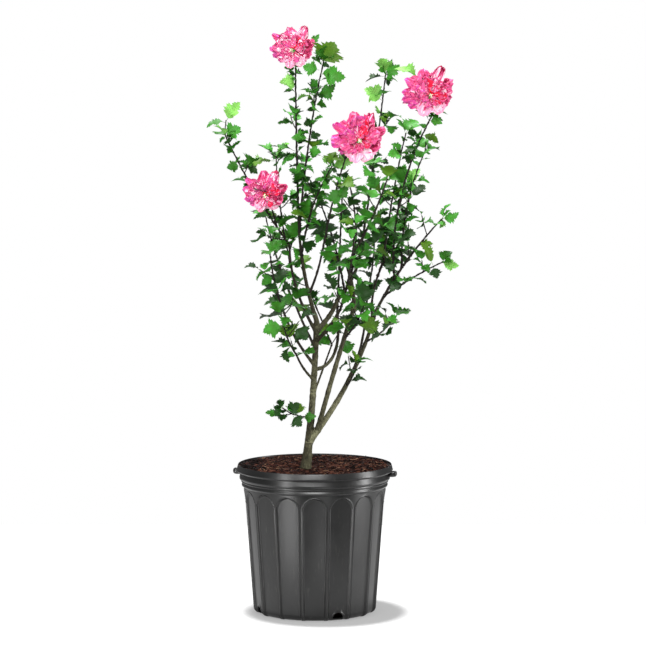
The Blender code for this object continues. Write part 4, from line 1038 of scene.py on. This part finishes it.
bloomLook = {
    "heart": (0.08, -0.07),  # middle of the petals, as shares of the flower's half width
    "outer": (  # direction in degrees, length and width as shares of the half width, kind, tilt
        (132, 0.92, 0.52, "rose", 0.02),
        (97, 1.02, 0.60, "rose", 0.10),
        (66, 1.16, 0.56, "curled", 0.20),
        (143, 1.10, 0.40, "magenta", 0.14),
        (27, 1.08, 0.54, "deep", 0.04),
        (170, 1.02, 0.46, "magenta", 0.06),
        (190, 0.98, 0.46, "magenta", -0.02),
        (214, 0.82, 0.44, "magenta", -0.06),
        (-14, 0.80, 0.62, "deep", 0.02),
        (4, 0.84, 0.44, "deep", -0.08),
        (-60, 0.80, 0.66, "white", 0.00),
        (-36, 0.76, 0.50, "pale", -0.06),
        (-128, 0.70, 0.50, "pale", 0.10),
        (-106, 0.80, 0.58, "pale", 0.04),
        (-84, 0.60, 0.36, "dark", -0.20),
    ),
    "inner": 46,
    "upper": ((5, 200), (0.22, 0.62)),  # inner petals: directions and reach in half widths
    "lower": ((200, 365), (0.20, 0.36)),  # every seventh of them
    "innerKinds": (  # up to which direction, and kinds to choose from
        (85, ("fire", "fire", "rose", "deep", "streaked")),
        (135, ("rose", "rose", "curled", "magenta", "rose")),
        (300, ("magenta", "rose", "rose", "streaked", "rose")),
        (366, ("fire", "fire", "rose", "deep", "streaked")),
    ),
    "ruffle": (0.11, 0.26),  # of an outer petal and an inner one
    "column": ((0.02, -0.10, 0.58), (0.0016, 0.0014, 0.0012, 0.0006)),  # tip in half widths, and radii
    "knobs": 20,
    "knobReach": 0.0024,
    "cup": ((-0.36, 0.0016), (-0.22, 0.0048), (-0.05, 0.0064), (0.04, 0.0050)),  # place and radius
    "sepals": 5,
    "sepal": ((0, 0.09), (0.4, 0.10), (0.75, 0.06), (1, 0.01)),  # share of its length and half breadth
    "twigRadius": 0.0014,
    "twigSeat": -0.34,  # where the twig meets the cup, in half widths
    "kinds": {  # heart, blade, streak and margin
        "rose": ("Scarlet", "Pink", "Rose", "Pink"),
        "magenta": ("Rose", "Pink", "Magenta", "Magenta"),
        "pale": ("Rose", "Pale", "White", "Pale"),
        "white": ("Rose", "White", "Pale", "Pale"),
        "curled": ("Scarlet", "Pink", "White", "Crimson"),
        "deep": ("Scarlet", "Crimson", "Rose", "Pink"),
        "dark": ("Crimson", "Crimson", "Rose", "Crimson"),
        "fire": ("Red", "Scarlet", "Rose", "Pink"),
        "streaked": ("Scarlet", "Pink", "White", "Pink"),
    },
    "tints": {
        "Red": "#ec122c",
        "Scarlet": "#e01a3e",
        "Crimson": "#a01c48",
        "Rose": "#cd3f70",
        "Pink": "#da578c",
        "Magenta": "#d651a2",
        "Pale": "#f09fbe",
        "White": "#f8d0de",
    },
    "across": (18, 12),  # faces across and along an outer petal and an inner one
    "along": (16, 10),
}


# Which tint a place on a petal has: its heart, its blade, a streak along it or its margin. Noise makes
# their edges ragged.
def petalTint(kind, u, t, seed):
    heart, blade, streak, margin = bloomLook["kinds"][kind]
    light = kind in ("pale", "white")
    line = noise.noise(Vector((u * 5.4, t * (1.2 if light else 2.6), seed)))
    ragged = 0.10 * noise.noise(Vector((u * 7, t * 3, seed + 9)))
    if noise.noise(Vector((u * 5, t * 6, seed + 20))) > 0.36:
        return "Pale"
    if t < (0.36 + 0.8 * line if light else 0.13 + 0.12 * line) + 1.2 * ragged:
        return heart
    if t > 0.90 + ragged or abs(u) > 0.90 + 2 * ragged:
        return margin
    return streak if line > 0.12 else blade


# A petal: narrow at its foot, broad, round and ruffled at its end; size is 0 outside and 1 inside
def addPetal(rng, sheaves, there, length, width, kind, tilt, size):
    across, along, ruffle = [bloomLook[name][size] for name in ("across", "along", "ruffle")]
    seed = rng.uniform(0, 99)
    waves = rng.uniform(1.6, 3.0)
    curl = rng.uniform(-0.22, 0.16)
    sway = rng.uniform(-0.10, 0.10)
    corners = []
    for i in range(along + 1):
        t = i / along
        spread = width * (0.14 + 0.86 * smoothStep(t / 0.66))
        spread *= 1 - 0.20 * smoothStep((t - 0.70) / 0.30)
        for j in range(across + 1):
            u = 2 * j / across - 1
            notch = 0.06 * noise.noise(Vector((u * 3.2, 0, seed))) * t * t
            y = length * (t * (1 - 0.34 * abs(u) ** 3 * t * t) + notch)
            x = u * spread / 2 + sway * length * t * t
            frill = ruffle * length * t * t * sin(waves * pi * u + seed) * (0.4 + 0.6 * abs(u))
            frill += 1.3 * ruffle * length * t * noise.noise(Vector((u * 2.6, t * 3.0, seed)))
            frill += 0.35 * ruffle * length * noise.noise(Vector((u * 6, t * 7, seed + 3)))
            vein = 0.012 * length * sin(9 * u + seed) * sin(pi * t)
            rise = length * (tilt * t + curl * t**3 - 0.16 * t * t) + frill + vein
            corners.append(there @ Vector((x, y, rise - 0.10 * width * u * u)))
    faces = {}
    for i in range(along):
        for j in range(across):
            a = i * (across + 1) + j
            tint = petalTint(kind, 2 * (j + 0.5) / across - 1, (i + 0.5) / along, seed)
            faces.setdefault(tint, []).append([a, a + 1, a + across + 2, a + across + 1])
    for tint, own in faces.items():
        used = sorted({corner for face in own for corner in face})
        number = {corner: k for k, corner in enumerate(used)}
        sheaves[tint].add([corners[c] for c in used], [[number[c] for c in face] for face in own])


# Living petal: thin and velvety, its tint drifting a little over the blade. Its nap is far too fine to
# show, and is drawn as crinkles of 4.5 mm.
def velvetPetal(name, colour):
    return clouded(name, colour, 0.60, 1.40, 0.3, 0.0045, 4, shades=(0.74, 1.24), bump=(0.35, 0.0005))


# Living stigma or calyx: soft and matt, in two tones
def softGrowth(name, colour, dark, pale):
    return clouded(name, colour, 0.6, 1.42, 0.5, 0.004, stops=((0.35, dark), (0.65, pale)))


# Small crumpled petals stand up around the heart, mostly over its upper half
def addInner(rng, sheaves, seat, half):
    for i in range(bloomLook["inner"]):
        sweep, span = bloomLook["upper" if i % 7 else "lower"]
        degrees = rng.uniform(*sweep)
        kind = rng.choice(next(kinds for end, kinds in bloomLook["innerKinds"] if degrees < end))
        reach = rng.uniform(*span)
        offset = (0, half * rng.uniform(0.02, 0.34), half * rng.uniform(0.02, 0.14))
        there = seat @ setOut(radians(degrees - 90), offset, rng.uniform(-0.9, 0.9))
        steep = rng.uniform(0.20, 0.80)
        breadth = half * reach * rng.uniform(0.8, 1.2)
        addPetal(rng, sheaves, there, half * reach, breadth, kind, steep, 1)


# The cream column of the flower, with its small knobs
def addHeart(rng, hearts, seat, half):
    tip, radii = bloomLook["column"]
    tip = Vector(tip) * half
    path = [seat @ (tip * t) for t in (0, 0.4, 0.8, 1)]
    hearts.add(*tube(path, radii, 6))
    for _ in range(bloomLook["knobs"]):
        out = Vector((rng.uniform(-1, 1), rng.uniform(-1.6, 1), rng.uniform(-0.3, 0.6)))
        out *= bloomLook["knobReach"]
        start = tip * rng.uniform(0.45, 1.05)
        shoot = [seat @ start, seat @ (start + out), seat @ (start + out * 1.25)]
        hearts.add(*tube(shoot, [0.0003, 0.0005, 0.0009], 4))


# Pointed sepals and a cup behind the petals
def addCalyx(cups, seat, half):
    places, radii = zip(*bloomLook["cup"])
    cups.add(*tube([seat @ Vector((0, 0, place * half)) for place in places], radii, 10))
    for i in range(bloomLook["sepals"]):
        turn = Matrix.Rotation(tau * (i + 0.5) / bloomLook["sepals"], 4, "Z")
        corners = []
        for t, breadth in bloomLook["sepal"]:
            for side in (-1, 1):
                place = Vector((side * breadth, 0.10 + 0.34 * t, -0.17 + 0.03 * t)) * half
                corners.append(seat @ turn @ place)
        cups.add(corners, [[k, k + 1, k + 3, k + 2] for k in (0, 2, 4)])


# The twig leaves its shoot and comes into the flower from behind
def addFlowerTwig(stalks, seat, half, shoot, share):
    start = readLine(routes[shoot], share)[0]
    low = bloomLook["twigSeat"] * half
    end = seat @ Vector((0, 0, low))
    behind = seat @ Vector((0, 0, low - (end - start).length / 2))
    path = bend(start, behind, end, 8)
    stalks.add(*tube(path, [bloomLook["twigRadius"]] * len(path), 7))


def makeBlooms(b):
    sheaves = {tint: Sheaf() for tint in b["tints"]}
    hearts, cups, stalks = Sheaf(), Sheaf(), Sheaf()
    for number, (shoot, share, middle, facing, width) in enumerate(blooms.values()):
        rng = random.Random(number)
        half = width / 2000
        z = Vector(facing).normalized()
        x = up.cross(z).normalized()
        seat = Matrix.Translation(metres(middle) - z * half * 0.20)
        seat @= Matrix((x, z.cross(x), z)).transposed().to_4x4()
        seat @= Matrix.Translation((b["heart"][0] * half, b["heart"][1] * half, 0))
        for k, (degrees, length, breadth, kind, tilt) in enumerate(b["outer"]):
            angle = radians(degrees + rng.uniform(-4, 4) - 90)
            there = seat @ setOut(angle, (0, half * 0.03, -0.004 * half * (k % 3)))
            reach = half * length * rng.uniform(0.96, 1.03)
            addPetal(rng, sheaves, there, reach, half * breadth * 1.15, kind, tilt, 0)
        addInner(rng, sheaves, seat, half)
        addHeart(rng, hearts, seat, half)
        addCalyx(cups, seat, half)
        addFlowerTwig(stalks, seat, half, shoot, share)
    for tint, sheaf in sheaves.items():
        petals = sheaf.build("petals" + tint, velvetPetal("velvetPetal" + tint, b["tints"][tint]))
        dress(petals, "bloom")
        print("petals", tint, len(petals.data.polygons), "faces")
    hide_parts(*blooms)
    cream = softGrowth("creamStigma", "#eeecca", "#d3d0a0", "#f6f4e0")
    dress(hearts.build("flowerHearts", cream), "bloom")
    green = softGrowth("greenCalyx", "#3f8c36", "#2c6e2c", "#5aa644")
    dress(cups.build("calyxes", green), "bloom")
    dress(stalks.build("flowerTwigs", twigBark()), "bloom")


makeBlooms(bloomLook)


# Floor, light and camera

studioLook = {
    "camera": (0.0148, -4.9, 0.95),
    "aim": (0.0148, 0, 0.519),
    "lens": 153.7,  # on a 36 mm sensor
    "floor": ((-1.2, -0.36), (1.2, 0.95)),  # the board's corners
    "glow": 0.32,  # the board's own light, so that it stays white beyond the shadow
    "sky": 0.42,
    "ground": 0.15,  # the sky's strength below the horizon
    "horizon": (-0.08, 0.45),
    "lamps": (  # name, place, aim, watts, width and height
        ("leftSoftbox", (-1.15, -1.25, 0.30), (0, 0, 0.30), 19, 0.24, 1.8),
        ("rightSoftbox", (1.60, -0.25, 0.30), (0, 0, 0.30), 29, 0.30, 1.7),
        ("topSoftbox", (-0.20, 0.34, 2.5), (0, 0, 0.3), 62, 0.45, 0.45),
        ("frontSoftbox", (0, -2.7, 1.9), (0, 0, 0.7), 70, 1.4, 1.4),
        ("backSoftbox", (0.3, 2.7, 1.5), (0, 0, 0.7), 36, 1.4, 1.4),
        ("rimSoftbox", (-0.80, -2.6, 1.05), (0, 0, 0.25), 7, 0.5, 0.4),
        ("lowSoftbox", (0.22, -0.95, -0.18), (0.02, 0, 0.10), 1.1, 0.45, 0.26),
    ),
    "boardLamp": ("boardSoftbox", (-0.44, 0.26, 6.0), (0, 0, 0), 400, 0.6, 0.6),
}


# Painted board: even matt white
def paintedFloor(glow):
    stops = ((0.3, "#d3d3d3"), (0.7, "#d6d6d6"))
    material = clouded("mattWhiteBoard", "#d4d4d4", 0.9, 1.45, 0, 2 / 3, stops=stops)
    shader = material.node_tree.nodes["Principled BSDF"]
    shader.inputs["Emission Color"].default_value = (1, 1, 1, 1)
    shader.inputs["Emission Strength"].default_value = glow
    return material


def addAimed(name, data, place, aim):
    obj = addObject(name, data)
    obj.location = place
    obj.rotation_mode = "QUATERNION"
    obj.rotation_quaternion = (Vector(aim) - Vector(place)).to_track_quat("-Z", "Y")
    return obj


def addSoftbox(name, place, aim, watts, width, height):
    lamp = bpy.data.lights.new(name, "AREA")
    lamp.energy = watts
    lamp.shape = "RECTANGLE"
    lamp.size = width
    lamp.size_y = height
    return addAimed(name, lamp, place, aim)


def lampGroup(name, pieces, state="INCLUDE"):
    group = bpy.data.collections.new(name)
    for i, piece in enumerate(pieces):
        group.objects.link(piece)
        group.collection_objects[i].light_linking.link_state = state
    return group


# The camera sees plain white past the board, and the plant is lit by a sky that is dark below
def makeSky(s):
    world = bpy.data.worlds.new("studioSky")
    bpy.context.scene.world = world
    world.use_nodes = True
    tree = world.node_tree
    sky = tree.nodes["Background"]
    sky.inputs["Color"].default_value = (1, 1, 1, 1)
    way = addNode(tree, "TexCoord", {}).outputs["Generated"]
    height = addNode(tree, "SeparateXYZ", {}, {0: way}).outputs["Z"]
    low, high = s["horizon"]
    climb = {"From Min": low, "From Max": high, "To Min": s["ground"], "To Max": s["sky"]}
    join(sky, {"Strength": addNode(tree, "MapRange", climb, {"Value": height})})
    white = addNode(tree, "Background", {"Color": (1, 1, 1, 1), "Strength": 1})
    seen = addNode(tree, "LightPath", {}).outputs["Is Camera Ray"]
    both = addNode(tree, "MixShader", {}, {0: seen, 1: sky, 2: white})
    join(tree.nodes["World Output"], {"Surface": both})


def makeStudio(s):
    scene = bpy.context.scene
    board = Sheaf()
    (left, front), (right, back) = s["floor"]
    board.add([(left, front, 0), (right, front, 0), (right, back, 0), (left, back, 0)], [[0, 1, 2, 3]])
    floor = board.build("floorBoard", paintedFloor(s["glow"]))
    lens = bpy.data.cameras.new("camera")
    lens.lens = s["lens"]
    lens.sensor_width = 36
    scene.camera = addAimed("camera", lens, s["camera"], s["aim"])
    scene.view_settings.view_transform = "Standard"
    makeSky(s)
    offBoard = lampGroup("offBoard", [floor], "EXCLUDE")
    for lamp in s["lamps"]:
        addSoftbox(*lamp).light_linking.receiver_collection = offBoard
    boardLamp = addSoftbox(*s["boardLamp"])  # lights the board alone, and only the pot shades it
    boardLamp.light_linking.receiver_collection = lampGroup("onBoard", [floor])
    potted = [bpy.data.objects["pottedShell"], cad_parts["potting_mix"]]
    boardLamp.light_linking.blocker_collection = lampGroup("shadesBoard", potted)
    print("studio ready")


makeStudio(studioLook)
